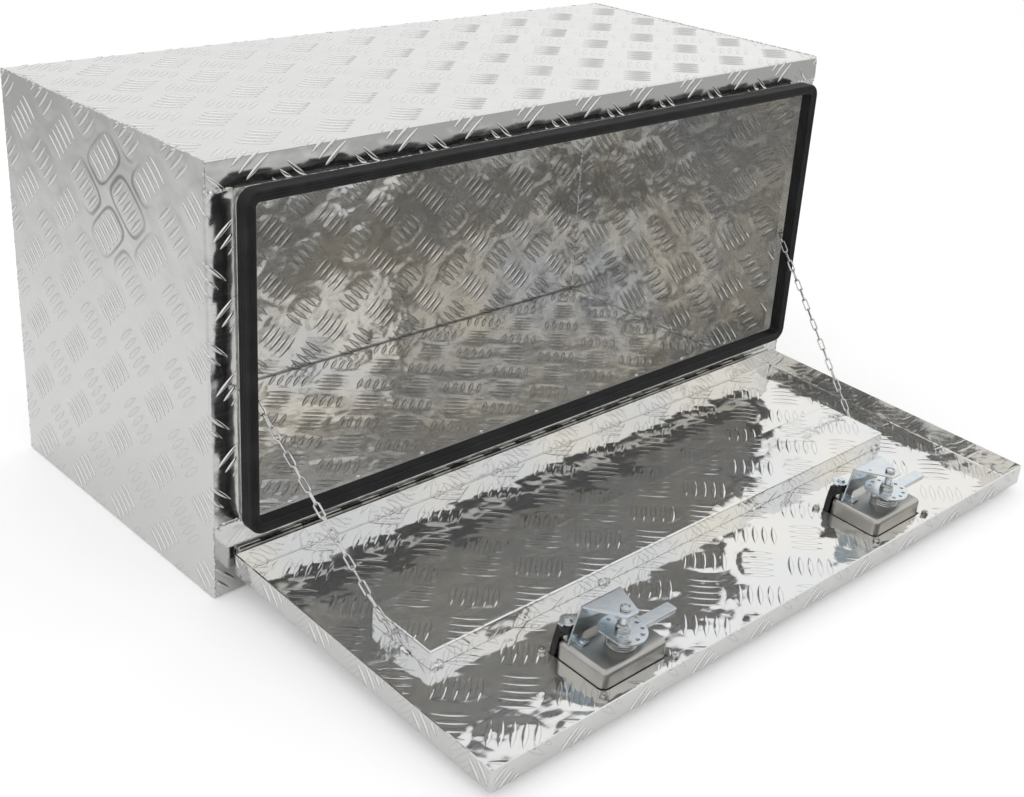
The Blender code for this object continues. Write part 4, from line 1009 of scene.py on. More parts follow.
def tread_bar():
    """The bars' polished tops: as the plate, a little smoother."""
    colours = settings("finish")
    make = Finish("tread_bar", 1.0)
    surface = make.surface()
    return make.done(
        make.mix(make.times(surface["Scuffs"], 0.10), colours.plate_outside, colours.shade_and_grime),
        make.ramp(surface["Grain"], 0.3, 0.75, 0.10, 0.24),
        (surface["Grain"], 0.00003),
    )


def fold_shade(make):
    """A line of painted shade where the back meets the bottom and the top: near in Y and near in Z.
    """
    far, near = 0.0052, 0.0034
    _, y, z = make.parts(make.place)
    back, head = (
        make.ramp(place, edge - far, edge - near) for place, edge in zip((y, z), WRAP_HIGH[1:])
    )
    return make.times(back, make.plus(make.ramp(z, far, near), head), clamp=True)


# Colour, metallic, lowest and highest roughness, depths in metres of the bars' print, of the
# groups' quilt and of the waves, strength of the bars' painted shade lines, strength of the clouds'
# tint
INNER_PLATES = {
    "plate_inside": ("plate_inside", 0.80, 0.09, 0.18, 0.0013, 0.0005, 0.014, 0.30, 0.7),
    "door_inside": ("door_inside", 0.88, 0.06, 0.13, 0.00023, 0.0004, 0.009, 0.34, 0.45),
    "stiffener_plate": ("door_inside", 0.88, 0.08, 0.18, 0.0003, 0.0006, 0.010, 0.40, 0.5),
}


def inner_plate(name, tint, metallic, smooth, rough, imprint, quilt, waves, darkening, cloud):
    """The sheet's inner side: a mirror with the bars showing through as soft creases."""
    make = Finish(name, metallic)
    tint = getattr(settings("finish"), tint)
    tread, surface = make.tread(), make.surface()
    clouds = make.ramp(make.noise(make.place, 4.5, 3.0), 0.40, 0.62)
    cool, warm = (
        [value * (1 - cloud * drop) for value, drop in zip(tint, drops)]
        for drops in ((0.10, 0.07, 0.03), (-0.03, 0.0, 0.07))
    )
    # painted shade: grey lines round the bars' imprints, and for plate_inside along the folds'
    # inner corners
    line = make.times(tread["Rim"], darkening)
    if name == "plate_inside":
        line = make.most(line, make.times(fold_shade(make), 0.75))
    return make.done(
        make.mix(line, make.mix(clouds, cool, warm), settings("finish").crease_shade),
        make.ramp(surface["Grain"], 0.3, 0.8, smooth, rough),
        (surface["Waves"], waves),
        (tread["Groups"], quilt),
        (tread["Bars"], imprint),
        (surface["Grain"], GRAIN_DEPTH),
    )


def smooth_sheet():
    """Smooth sheet: the lip."""
    make = Finish("smooth_sheet", 0.9)
    tint = settings("finish").smooth_sheet
    surface = make.surface()
    return make.done(
        make.mix(surface["Scuffs"], tint, [0.8 * value for value in tint]),
        make.ramp(surface["Grain"], 0.3, 0.8, 0.07, 0.16),
        (surface["Waves"], 0.006),
        (surface["Grain"], GRAIN_DEPTH),
    )


# Colour, lowest and highest roughness, scale of the patches, their colour or their share of the
# metal's own colour, depth of the grain in metres
METALS = {
    "brushed_dish": ("dish", 0.32, 0.38, 25.0, 0.88, 0.0),
    "blue_zinc": ("zinc", 0.20, 0.27, 90.0, (0.73, 0.75, 0.76), 0.0),
    "bright_steel": ("bright_steel", 0.08, 0.18, 140.0, 0.82, 0.00004),
    "chain_wire": ("chain_wire", 0.05, 0.10, 140.0, (0.54, 0.54, 0.53), 0.00004),
    "spring_wire_steel": ("spring_wire", 0.08, 0.18, 200.0, (0.46, 0.46, 0.45), 0.00004),
    "weld_metal": ("weld", 0.16, 0.34, 300.0, (0.50, 0.50, 0.49), 0.00012),
}


def metal(name, tint, smooth, rough, patch_scale, patch_tint, grain):
    """A plain metal with patches of another tint, uneven gloss and a fine grain."""
    make = Finish(name, 1.0)
    tint = getattr(settings("finish"), tint)
    if isinstance(patch_tint, float):
        patch_tint = [value * patch_tint for value in tint]
    patches, fine = make.noise(make.place, patch_scale, 3.0), make.noise(make.place, 900.0, 2.0)
    return make.done(
        make.mix(make.ramp(patches, 0.38, 0.66), tint, patch_tint),
        make.ramp(fine, 0.3, 0.7, smooth, rough),
        *([(patches, grain * 4), (fine, grain)] if grain else []),
    )


def ribbed_rubber():
    """Extruded rubber: matt black with a greyer bloom and a fine grain."""
    make = Finish("ribbed_rubber", 0.0)
    make.fill(make.shader, {"Specular IOR Level": 0.25})
    bloom = make.ramp(make.noise(make.place, 26.0, 4.0, 0.6), 0.42, 0.72)
    return make.done(
        make.mix(bloom, settings("finish").rubber, (0.028, 0.029, 0.031)),
        make.ramp(bloom, 0.0, 1.0, 0.42, 0.60),
        (make.noise(make.place, 1400.0, 2.0), 0.00006),
    )


def painted_lock():
    """Black painted die casting with a slight orange peel."""
    make = Finish("painted_lock", 0.0)
    worn = make.ramp(make.noise(make.place, 260.0, 3.0), 0.62, 0.75)
    peel = make.noise(make.place, 700.0, 2.0)
    return make.done(
        make.mix(worn, settings("finish").lock_black, (0.03, 0.03, 0.031)),
        make.ramp(peel, 0.3, 0.7, 0.22, 0.40),
        (peel, 0.00008),
    )


def studio_floor():
    """The floor: pale near the box, darker far off. It lifts itself to white for the camera."""
    studio = settings("studio")
    make = Finish("studio_floor", 0.0)
    make.fill(make.shader, {"Specular IOR Level": 0.0, "Emission Strength": 1.0})
    far = make.ramp(make.vector("LENGTH", make.place, output=1), 0.45, 2.2)
    near_lift = [1.0 - 0.84 * value for value in studio.floor]
    far_lift = [1.0 - 0.9 * value for value in studio.floor_far]
    seen = make.add("ShaderNodeLightPath", output=0)
    lift = make.mix(seen, (0.0, 0.0, 0.0), make.mix(far, near_lift, far_lift))
    make.fill(make.shader, {"Emission Color": lift})
    return make.done(make.mix(far, studio.floor, studio.floor_far), 0.9)


FINISHES = {
    maker.__name__: maker
    for maker in (
        plate_outside, tread_bar, smooth_sheet, ribbed_rubber, painted_lock, studio_floor
    )
}


def finish(name):
    """The named finish's material, made once."""
    found = bpy.data.materials.get(name)
    if found:
        return found
    if name in INNER_PLATES:
        return inner_plate(name, *INNER_PLATES[name])
    return metal(name, *METALS[name]) if name in METALS else FINISHES[name]()


# The box's sheets


def wrap_place(fold):
    """A function from across, along the fold and height to X, Y, Z, for the wrap."""

    def place(long_way, short_way, height):
        y, z = fold.at(short_way, height)
        return np.stack([long_way, y, z], axis=-1)

    return place


def side_place(fold):
    """A function from along the fold, up and height to X, Y, Z, for a side."""

    def place(long_way, short_way, height):
        x, y = fold.at(long_way, height)
        return np.stack([x, y, short_way], axis=-1)

    return place


def box_sheet(name, node, points, faces, uv, way=None):
    """A sheet of the box, with its wall and the finishes of its two sides."""
    obj = as_object(name, points, faces, ["plate_outside", "plate_inside"], uv, turn=False)
    turn_sheet(obj.data, points, faces, way)
    add_wall(obj, 1)
    dress(obj, "box_body", [node])


def wrap_sheet():
    """The wrap: a grid across the box and along its folds, notched where the opening cuts it."""
    sheet = settings("sheet")
    fold = wrap_fold()
    notch_half = LIP_HIGH[0] + SEAT_GAP
    notch_arc = fold.total - (sheet.sill_height - LIP_LOW[2] + SEAT_GAP)
    steps = math.ceil((WRAP_HIGH[0] - WRAP_LOW[0]) / sheet.grid_step)
    xs = with_lines(np.linspace(WRAP_LOW[0], WRAP_HIGH[0], steps + 1), -notch_half, notch_half)
    arcs = with_lines(fold.arc, notch_arc)
    arc, x = np.meshgrid(arcs, xs, indexing="ij")
    points = wrap_place(fold)(x, arc, 0.0).reshape(-1, 3)
    mid_arc, mid_x = middles(arcs, xs)
    keep = ~((mid_arc > notch_arc) & (np.abs(mid_x) < notch_half))
    faces = grid_faces(len(arcs), len(xs), keep=keep)
    box_sheet("wrap_sheet", "body_wrap", points, faces, tread_uv(x, arc, wrap_origin(fold)))


def side_sheet(side, hand):
    """A side: a grid along its fold and up it, whose stile stops at the sill and the header."""
    sheet = settings("sheet")
    fold = side_fold(hand)
    height = WRAP_HIGH[2]
    inner = fold.arc_at((WRAP_HIGH[0] * hand + hand * SEAT_GAP, WRAP_LOW[1]))
    low, high = sheet.sill_height + SEAT_GAP, height - sheet.header_height - SEAT_GAP
    steps = math.ceil(height / sheet.grid_step)
    zs = with_lines(np.linspace(0.0, height, steps + 1), low, high)
    arcs = with_lines(fold.arc, inner)
    z, arc = np.meshgrid(zs, arcs, indexing="ij")
    points = side_place(fold)(arc, z, 0.0).reshape(-1, 3)
    mid_z, mid_arc = middles(zs, arcs)
    on_stile = mid_arc < inner if hand < 0 else mid_arc > inner
    keep = ~(on_stile & ((mid_z < low) | (mid_z > high)))
    faces = grid_faces(len(zs), len(arcs), keep=keep)
    uv = tread_uv(arc, z, side_origin(fold, hand), hand)
    box_sheet(f"side_sheet_{side}", f"side_panel_{side}", points, faces, uv, (hand, 0, 0))


def box_tread():
    """The bars on the wrap and on both sides, clear of the hinge leaf and the seal."""
    sheet = settings("sheet")
    clear = EDGE_CLEARANCE
    fold = wrap_fold()
    leaf_low, leaf_high = world_box("hinge_body_leaf")
    start = fold.arc_at((WRAP_LOW[1], leaf_low[2])) - clear
    covered = [((leaf_low[0] - clear, start), (leaf_high[0] + clear, fold.total))]
    spans = [(WRAP_LOW[0], WRAP_HIGH[0]), (0.0, fold.total)]
    origin = wrap_origin(fold)
    tread_bars("wrap_tread_bars", "box_body", wrap_place(fold), spans, origin, -1, covered)
    for side, hand in SIDES:
        fold = side_fold(hand)
        inner = fold.arc_at((hand * HALF_WIDTH, WRAP_LOW[1] + sheet.fold_radius))
        start, end = (-1.0, inner) if hand < 0 else (inner, fold.total + 1.0)
        low, high = sheet.sill_height + clear, WRAP_HIGH[2] - sheet.header_height - clear
        covered = [((start, -1.0), (end, low)), ((start, high), (end, 1.0))]
        spans = [(0.0, fold.total), (0.0, WRAP_HIGH[2])]
        origin = side_origin(fold, hand)
        name = f"side_tread_bars_{side}"
        tread_bars(name, "box_body", side_place(fold), spans, origin, -hand, covered)


def weld_bead(name, body, start, end, radius, seed, scale=1.0):
    """A weld bead: a tube whose radius swells at each ripple and wanders a little."""
    start, end = np.array(start, float), np.array(end, float)
    span = np.linalg.norm(end - start)
    row_step, ripple_step = radius * 0.55, radius * 2.6
    rows = max(6, math.ceil(span / row_step))
    shares = np.linspace(0.0, 1.0, rows)
    along = (end - start) / span
    normal = np.cross(along, [0.31, 0.57, 0.76])
    normal /= np.linalg.norm(normal)
    draw = np.random.default_rng(seed)
    wander = np.convolve(draw.normal(0.0, 1.4, rows + 4), np.ones(5) / 5, "valid")
    line = start + shares[:, None] * (end - start) + wander[:, None] * normal * radius * 0.35
    ripple = 0.86 + 0.16 * np.abs(np.sin(shares * span / ripple_step * math.pi))
    lumps = np.convolve(draw.normal(0.0, 1.0, rows + 2), (0.27, 0.46, 0.27), "valid")
    ripple = ripple * (1 + 0.19 * lumps * scale)
    shape = np.clip(np.minimum(shares, 1 - shares) * rows / 2.0, 0.35, 1.0)
    ways = [np.tile(way, (rows, 1)) for way in (normal, np.cross(along, normal))]
    chunk = tube(line, *ways, radius * ripple * shape, 8, False)
    dress(as_object(name, *chunk, ["weld_metal"]), body)


def box_welds():
    """Beads where the sides meet the wrap, and where the stiles meet header and sill."""
    sheet = settings("sheet")
    bead, wall, inset = sheet.bead_radius, sheet.thickness, sheet.fold_radius
    small = bead * 0.66
    sink = small * 0.1
    front, back, floor, top = WRAP_LOW[1], WRAP_HIGH[1], WRAP_LOW[2], WRAP_HIGH[2]
    face, header, sill = front + 0.0002, top - sheet.header_height, sheet.sill_height
    for side, hand in SIDES:
        x = hand * (HALF_WIDTH - wall * 0.6)
        stile = hand * (HALF_WIDTH - sheet.stile_width)
        corner = hand * (HALF_WIDTH - wall - SEAT_GAP)
        lines = {
            "top": (0, small, (x, front + inset, top - sink), (x, back - inset, top - sink)),
            "bottom": (
                10, small, (x, front + inset, floor + sink), (x, back - inset, floor + sink)
            ),
            "back": (20, small, (x, back - sink, floor + inset), (x, back - sink, top - inset)),
            "header": (40, bead * 1.25, (x, face, header), (stile, face, header), 2.2),
            "sill": (41, bead * 1.25, (x, face, sill), (stile, face, sill), 2.2),
            "inner_back": (
                80, bead * 0.8, (corner, back - wall, floor + inset),
                (corner, back - wall, top - inset),
            ),
            "inner_foot": (
                81, bead * 0.8, (corner, front + 0.02, wall), (corner, back - wall, wall)
            ),
            "header_end": (60, small, (x, face, header), (x, face, top - inset)),
            "sill_end": (70, small, (x, face, inset), (x, face, sill)),
        }
        for where, (seed, radius, start, end, *scale) in lines.items():
            name = f"weld_{where}_{side}"
            weld_bead(name, "box_body", start, end, radius, 3 + hand + seed, *scale)


class TOOLBOX_OT_sheets(bpy.types.Operator):
    """Build the wrap and the two sides"""

    bl_idname = "toolbox.sheets"
    bl_label = "Box sheets"

    def execute(self, context):
        wrap_sheet()
        for side, hand in SIDES:
            side_sheet(side, hand)
        return {"FINISHED"}


class TOOLBOX_OT_tread(bpy.types.Operator):
    """Lay the tread bars on the box"""

    bl_idname = "toolbox.tread"
    bl_label = "Tread bars"

    def execute(self, context):
        box_tread()
        return {"FINISHED"}


class TOOLBOX_OT_welds(bpy.types.Operator):
    """Run the weld beads"""

    bl_idname = "toolbox.welds"
    bl_label = "Welds"

    def execute(self, context):
        box_welds()
        return {"FINISHED"}


# The opening


def opening_lip():
    """The lip: a band carried round the opening, from its back edge to its front."""
    radius = settings("seal").opening_radius
    core, way = opening_ring(LIP_LOW, LIP_HIGH, radius)
    depths = np.linspace(LIP_LOW[1], LIP_HIGH[1], 4)
    points = carried_round(core, way, np.full(len(depths), radius), depths)
    faces = grid_faces(len(depths), len(core), closed_columns=True)
    obj = as_object("lip_strip", points, faces, ["smooth_sheet"], turn=False)
    turn_sheet(obj.data, points, faces)
    add_wall(obj, 0)
    dress(obj, "box_body", ["opening_lip"])


def ribs(start, end, count_of, depth, inward, steps=5):
    """Points along a section's side with half-round grooves cut into it, rib by rib."""
    start, end = np.array(start, float), np.array(end, float)
    shares = np.linspace(0.0, 1.0, count_of * steps + 1)
    groove = depth - depth * (0.5 - 0.5 * np.cos(shares * count_of * math.tau)) ** 0.6
    groove[0] = groove[-1] = 0.0
    return start + shares[:, None] * (end - start) + groove[:, None] * np.array(inward)


def door_seal():
    """The seal: a ribbed channel section carried round the opening, pressed over the lip."""
    seal = settings("seal")
    middle = settings("sheet").thickness / 2
    half = (SEAL_HIGH[0] - LIP_HIGH[0]) + middle
    front, back, rim = SEAL_LOW[1], SEAL_HIGH[1], LIP_LOW[1] - SEAT_GAP
    edge, depth = seal.chamfer, seal.rib_depth
    slot = middle + SEAT_GAP
    turn = np.linspace(0.0, QUARTER, 5)[1:-1]
    cos, sin = edge * np.cos(turn), edge * np.sin(turn)
    section = [
        ribs((half, back), (half, front + edge), seal.side_ribs, depth, (-1, 0)),
        np.stack([half - edge + cos, front + edge - sin], 1),
        ribs((half - edge, front), (edge - half, front), seal.front_ribs, depth, (0, 1)),
        np.stack([edge - half - sin, front + edge - cos], 1),
        ribs((-half, front + edge), (-half, back), seal.side_ribs, depth, (1, 0)),
        [(-slot, back), (-slot, rim), (slot, rim), (slot, back)],
    ]
    section = np.concatenate(section)
    core, way = opening_ring(LIP_LOW, LIP_HIGH, seal.opening_radius)
    radii = seal.opening_radius - middle + section[:, 0]
    points = carried_round(core, way, radii, section[:, 1])
    faces = grid_faces(len(section), len(core), closed_rows=True, closed_columns=True)
    obj = as_object("seal_strip", points, faces, ["ribbed_rubber"])
    dress(obj, "box_body", ["door_seal"])


class TOOLBOX_OT_opening(bpy.types.Operator):
    """Build the lip and the rubber seal"""

    bl_idname = "toolbox.opening"
    bl_label = "Lip and seal"

    def execute(self, context):
        opening_lip()
        door_seal()
        return {"FINISHED"}


# The door


def dish_sides(side):
    """The pressed dish's sides across and up: between the screws, inside the flange."""
    low = latch_box("lock_body", side)[0][:2]
    return low, -low


def latch_windows():
    """The rectangles cut in the door's panel for the two latches."""
    gap = settings("latch").dish_sheet / 2
    windows = []
    for side, _ in SIDES:
        low, high = dish_sides(side)
        edges = (low - gap, high + gap)
        windows.append([np.array([edge[0], 0.0, edge[1]]) + latch_centre(side) for edge in edges])
    return windows


def door_sheet(name, node, chunk, finishes, way):
    """A sheet of the door, from a tray in closed-door coordinates, turned along Y or back."""
    points, faces, uv = chunk
    points = door_to_world(points)
    obj = as_object(name, points, faces, finishes, uv, face_like=door_way(way))
    add_wall(obj, len(finishes) - 1)
    dress(obj, "door", [node])


def door_pan():
    """The door: a tray with its rim towards the box, and its windows."""
    radius = settings("sheet").fold_radius
    windows = latch_windows()
    chunk = tray(DOOR_LOW, DOOR_HIGH, radius, DOOR_LOW[1], DOOR_HIGH[1], 0.016, windows)
    finishes = ["plate_outside", "door_inside"]
    door_sheet("door_sheet", "door_pan", chunk, finishes, -1.0)


def door_tread():
    """Bars on the door's outer face and rim, clear of the latch flanges."""
    low, high = DOOR_LOW, DOOR_HIGH
    radius, clear = settings("sheet").fold_radius, FLANGE_CLEARANCE
    fold = Fold([(low[1], low[2]), (low[1], high[2]), (high[1], high[2])])
    covered = []
    for side, _ in SIDES:
        flange_low, flange_high = door_box(f"latch_dish_{side}")
        start = fold.arc_at((low[1], flange_low[2])) - clear
        end = fold.arc_at((low[1], flange_high[2])) + clear
        covered.append(((flange_low[0] - clear, start), (flange_high[0] + clear, end)))
    column, row = door_origin()
    closed = wrap_place(fold)

    def place(*where):
        return door_to_world(closed(*where))

    spans = [(low[0] + radius, high[0] - radius), (radius, fold.total)]
    origin = (column, fold.arc_at((low[1], row)))
    tread_bars("door_tread_bars", "door", place, spans, origin, -1, covered)
    for side, hand in SIDES:
        edge = high[0] * hand

        def place_side(long_way, short_way, height, edge=edge, hand=hand):
            x = np.full_like(long_way, edge) + hand * height
            return door_to_world(np.stack([x, low[1] + radius + long_way, short_way], axis=-1))

        spans = [(0.0, high[1] - low[1] - radius), (low[2] + radius, high[2] - radius)]
        origin = (edge * hand - abs(column), row)
        tread_bars(f"door_rim_bars_{side}", "door", place_side, spans, origin, 1)


def door_stiffener():
    """The channel welded inside the door: a shallow tray, open towards the panel."""
    low, high = door_box("door_stiffener")
    chunk = tray(low, high, settings("sheet").stiffener_radius, high[1], low[1], 0.02)
    finishes = ["stiffener_plate"]
    door_sheet("stiffener_sheet", "door_stiffener", chunk, finishes, 1.0)


def stiffener_welds():
    """Short stitches of weld along the stiffener's two long edges and at its ends."""
    low, high = door_box("door_stiffener")
    out = 0.0006
    width = high[0] - low[0]
    rows = (
        ("weld", (0.012, 0.318, 0.66, 0.985), high[2] + out, 0.008, 0.0034, 90),
        ("weld_near", (0.10, 0.52, 0.94), low[2] - out, 0.007, 0.0026, 110),
    )
    stitches = [
        (f"{name}_{n + 1}", low[0] + part * width, up, (half, 0.0), radius, seed + n)
        for name, parts, up, half, radius, seed in rows
        for n, part in enumerate(parts)
    ]
    up = low[2] + 0.6 * (high[2] - low[2])
    for side, x in (("left", low[0] - out), ("right", high[0] + out)):
        stitches.append((f"end_weld_{side}", x, up, (0.0, 0.007), 0.0030, 100))
    for name, x, up, half, radius, seed in stitches:
        middle, step = np.array([x, low[1] + out, up]), np.array([half[0], 0.0, half[1]])
        start, end = door_to_world(np.stack([middle - step, middle + step]))
        weld_bead(f"stiffener_{name}", "door", start, end, radius, seed, 2.0)


class TOOLBOX_OT_door(bpy.types.Operator):
    """Build the door, its tread bars and its stiffener"""

    bl_idname = "toolbox.door"
    bl_label = "Door"

    def execute(self, context):
        door_pan()
        door_tread()
        door_stiffener()
        stiffener_welds()
        return {"FINISHED"}


def repaint(*nodes):
    """Gives CAD nodes that stay a better material."""
    for node in nodes:
        mesh = frame["nodes"][node].data
        mesh.materials.clear()
        mesh.materials.append(finish("bright_steel"))


class TOOLBOX_OT_hinge(bpy.types.Operator):
    """Finish the hinge leaves and the pin"""

    bl_idname = "toolbox.hinge"
    bl_label = "Hinge"

    def execute(self, context):
        repaint("hinge_body_leaf", "hinge_door_leaf", "hinge_pin")
        return {"FINISHED"}


# The chains


def chain_link(centre, along, flat, edge, reach):
    """One link: a wire round a stadium, c + a (r cos t + half) + f r sin t, with t all round."""
    wire = settings("chain").wire
    radius = (settings("chain").link_width - wire) / 2
    turn = (np.arange(28) + 0.5) * math.tau / 28
    cos, sin = np.cos(turn)[:, None], np.sin(turn)[:, None]
    line = centre + (cos * radius + np.sign(cos) * (reach / 2 - radius)) * along
    line = line + sin * radius * flat
    return tube(line, cos * along + sin * flat, np.tile(edge, (28, 1)), wire / 2, 8, True)


def chain(side):
    """Links on a straight line from stud to bolt, each turned about a quarter from the last."""
    sizes = settings("chain")
    start, end = (
        np.array(JOINTS[f"chain_{place}_swing_{side}"]["pos_m"]) for place in ("top", "foot")
    )
    links = sizes.upper_links + sizes.lower_links
    span = np.linalg.norm(end - start)
    along = (end - start) / span
    across = np.cross(along, [1.0, 0.0, 0.0])
    across /= np.linalg.norm(across)
    other = np.cross(along, across)
    pitch = span / links
    draw = np.random.default_rng(11)
    made = []
    for n in range(links):
        lean = math.radians(38 + 90 * (n % 2)) + draw.normal(0.0, 0.13)
        flat = across * math.cos(lean) + other * math.sin(lean)
        centre = start + along * pitch * (n + 0.5)
        edge = np.cross(along, flat)
        made.append(chain_link(centre, along, flat, edge, pitch + sizes.wire * 0.9))
    upper, lower = made[: sizes.upper_links], made[sizes.upper_links :]
    for run, chunks, body in (("upper", upper, "top"), ("lower", lower, "foot")):
        obj = as_object(f"{run}_links_{side}", *joined(chunks), ["chain_wire"])
        dress(obj, f"chain_{body}_{side}", [f"chain_{run}_{side}"])


class TOOLBOX_OT_chains(bpy.types.Operator):
    """Build the two stay chains and finish their studs and bolts"""

    bl_idname = "toolbox.chains"
    bl_label = "Chains"

    def execute(self, context):
        for side, _ in SIDES:
            chain(side)
            repaint(f"chain_stud_{side}", f"chain_bolt_{side}")
        return {"FINISHED"}


# The latches: across and up are counted from a latch's middle, height from the door's panel


def latch_piece(
    name, node, side, chunks, material="blue_zinc", body="door", tail=""
):
    """A piece of a latch, from chunks in latch coordinates, in place of a CAD node if any."""
    points, faces = joined(chunks)
    points = door_to_world(points[:, [0, 2, 1]] + latch_centre(side))
    obj = as_object(f"{name}_{side}{tail}", points, faces, [material])
    obj.modifiers.new("even_shading", "WEIGHTED_NORMAL").keep_sharp = True
    body = body if body == "door" else f"{body}_{side}"
    dress(obj, body, [f"{node}_{side}{tail}"] if node else [])


def shaft_place(side):
    """Where the shaft stands, across and up."""
    return middle_of("shaft_top_nut", side)


def middle_of(node, side, tail=""):
    """The middle of a latch node's box, across and up."""
    low, high = latch_box(node, side, tail)
    return ((low + high) / 2)[:2]


def dish_outline(side, inset, inside=True, steps=6):
    """The dish across and up, with the lock's corner left out, drawn in by the inset.

    On the door's inside only the lock's foot is left out, on its outside the whole lock.
    """
    latch = settings("latch")
    low, high = dish_sides(side)
    gap = 0.0004 + inset
    notch = latch_box("lock_body", side)[1][:2] + gap
    if inside:
        notch[1] = low[1] + latch.lock_foot + gap
    low, high = low + inset, high - inset
    corners = [notch, (notch[0], low[1]), (high[0], low[1]), high, (low[0], high[1])]
    corners.append((low[0], notch[1]))
    radii = [latch.lock_edge + inset] + [latch.dish_corner - inset] * 5
    return rounded(corners, radii, steps)


def dish_shell(side):
    """The dish: its outline drawn in over a quarter round at the top, with a flange outside."""
    latch = settings("latch")
    low, high = latch_box("latch_dish", side)
    wall, edge = latch.dish_sheet, latch.dish_edge
    flange_top = low[2] + wall
    turn = np.linspace(0.0, QUARTER, 7)[1:]
    insets = np.concatenate([[0.0, 0.0], edge * (1 - np.cos(turn))])
    levels = np.concatenate([[flange_top, high[2] - edge], high[2] - edge * (1 - np.sin(turn))])
    outer, inner = [], []
    for inset, level in zip(insets, levels):
        outer.append(levelled(dish_outline(side, inset), level))
        drawn = min(inset + wall, edge - 0.0001) if inset < edge else inset
        depth = level - wall if level > flange_top else low[2]
        inner.append(levelled(dish_outline(side, drawn, False), depth))
    points, faces = joined([stacked(outer, first_cap=False), stacked(inner[::-1], last_cap=False)])
    here = np.arange(len(outer[0]))
    after = (here + 1) % len(here)
    base = len(points) - len(here)
    rim = np.stack([here, after, base + after, base + here], axis=1).tolist()
    outlines = [rectangle(low[:2], high[:2], latch.flange_corner)]
    outlines.append(dish_outline(side, wall, False)[::-1])
    return [(points, faces + rim), plate(outlines, low[2], flange_top, 0.0004)]


def dish_gasket(side):
    """A black bead round the dish's foot, where it comes through the door."""
    line = levelled(dish_outline(side, -0.0004, steps=8), 0.0003)
    step = np.roll(line, -1, axis=0) - np.roll(line, 1, axis=0)
    step /= np.linalg.norm(step, axis=1)[:, None]
    up = np.tile([0.0, 0.0, 1.0], (len(line), 1))
    return tube(line, np.cross(step, up), up, 0.00035, 8, True)


def dish(side):
    """The dish and its gasket."""
    latch_piece("dish", "latch_dish", side, dish_shell(side), "brushed_dish")
    chunks = [dish_gasket(side)]
    latch_piece("dish_gasket", None, side, chunks, "ribbed_rubber")


def corner_screws(side):
    """Each corner screw: a domed head outside, and a washer, a nut and a thread end inside."""
    washer_hole, nut_flats, nut_hole, thread, pitch = 0.0021, 0.007, 0.0018, 0.0020, 0.0007
    washer_foot, washer_top, nut_foot, nut_drop = 0.0003, 0.0010, 0.0011, 0.0012
    for number in range(1, 5):
        tail = f"_{number}"
        low, high = latch_box("latch_screw", side, tail)
        centre = middle_of("latch_screw", side, tail)
        reach = (high - low)[0] / 2
        head_top = low[2] + 0.0019
        dome = [(0.0, low[2]), (reach * 0.45, low[2] + 0.0001), (reach * 0.74, low[2] + 0.0005)]
        dome += [(reach * 0.84, low[2] + 0.0012), (reach * 0.84, head_top), (0.0, head_top)]
        chunks = [
            turned(dome, 24, centre),
            washer(washer_hole, reach, washer_foot, washer_top, 28, centre),
            nut(nut_flats, nut_hole, nut_foot, high[2] - nut_drop, centre, 0.3 * number, 36),
            threaded(thread, head_top, high[2] - 0.0003, pitch, 0.00025, centre, 14),
        ]
        latch_piece("corner_screw", "latch_screw", side, chunks, "bright_steel", tail=tail)


def lock_body(side):
    """The lock: a foot that leans in as it rises and spreads over the dish, and a round collar."""
    latch = settings("latch")
    low, high = latch_box("lock_body", side)
    foot, edge, collar = latch.lock_foot, latch.lock_edge, latch.lock_collar
    block_top = high[2] - 0.0075
    dish_top = latch_box("latch_dish", side)[1][2] + 0.0006
    levels = [(0.0, level) for level in np.linspace(low[2], dish_top, 6)]
    for turn in np.linspace(0.0, QUARTER, 5):
        levels.append((edge * (1 - math.cos(turn)), block_top - edge * (1 - math.sin(turn))))
    rings = []
    for inset, level in levels:
        risen = max(0.0, level - dish_top) / (block_top - dish_top)
        lean = 0.006 * ((level - low[2]) / (block_top - low[2])) ** 2
        spread = low[1] + foot + (high[1] - low[1] - foot) * 0.85 * min(1.0, 2 * risen)
        ring_low, ring_high = low[:2] + [lean, 0.0] + inset, np.array([high[0], spread]) - inset
        rings.append(levelled(rectangle(ring_low, ring_high, edge * 1.3), level))
    base, top = block_top - 0.001, high[2]
    profile = [(0.0, base), (collar, base), (collar, top - 0.003), (collar * 0.93, top - 0.0025)]
    profile += [(collar * 0.93, top - 0.0006), (collar * 0.87, top), (0.0, top)]
    chunks = [stacked(rings), turned(profile, 32, middle_of("lock_body", side))]
    latch_piece("lock_block", "lock_body", side, chunks, "painted_lock")


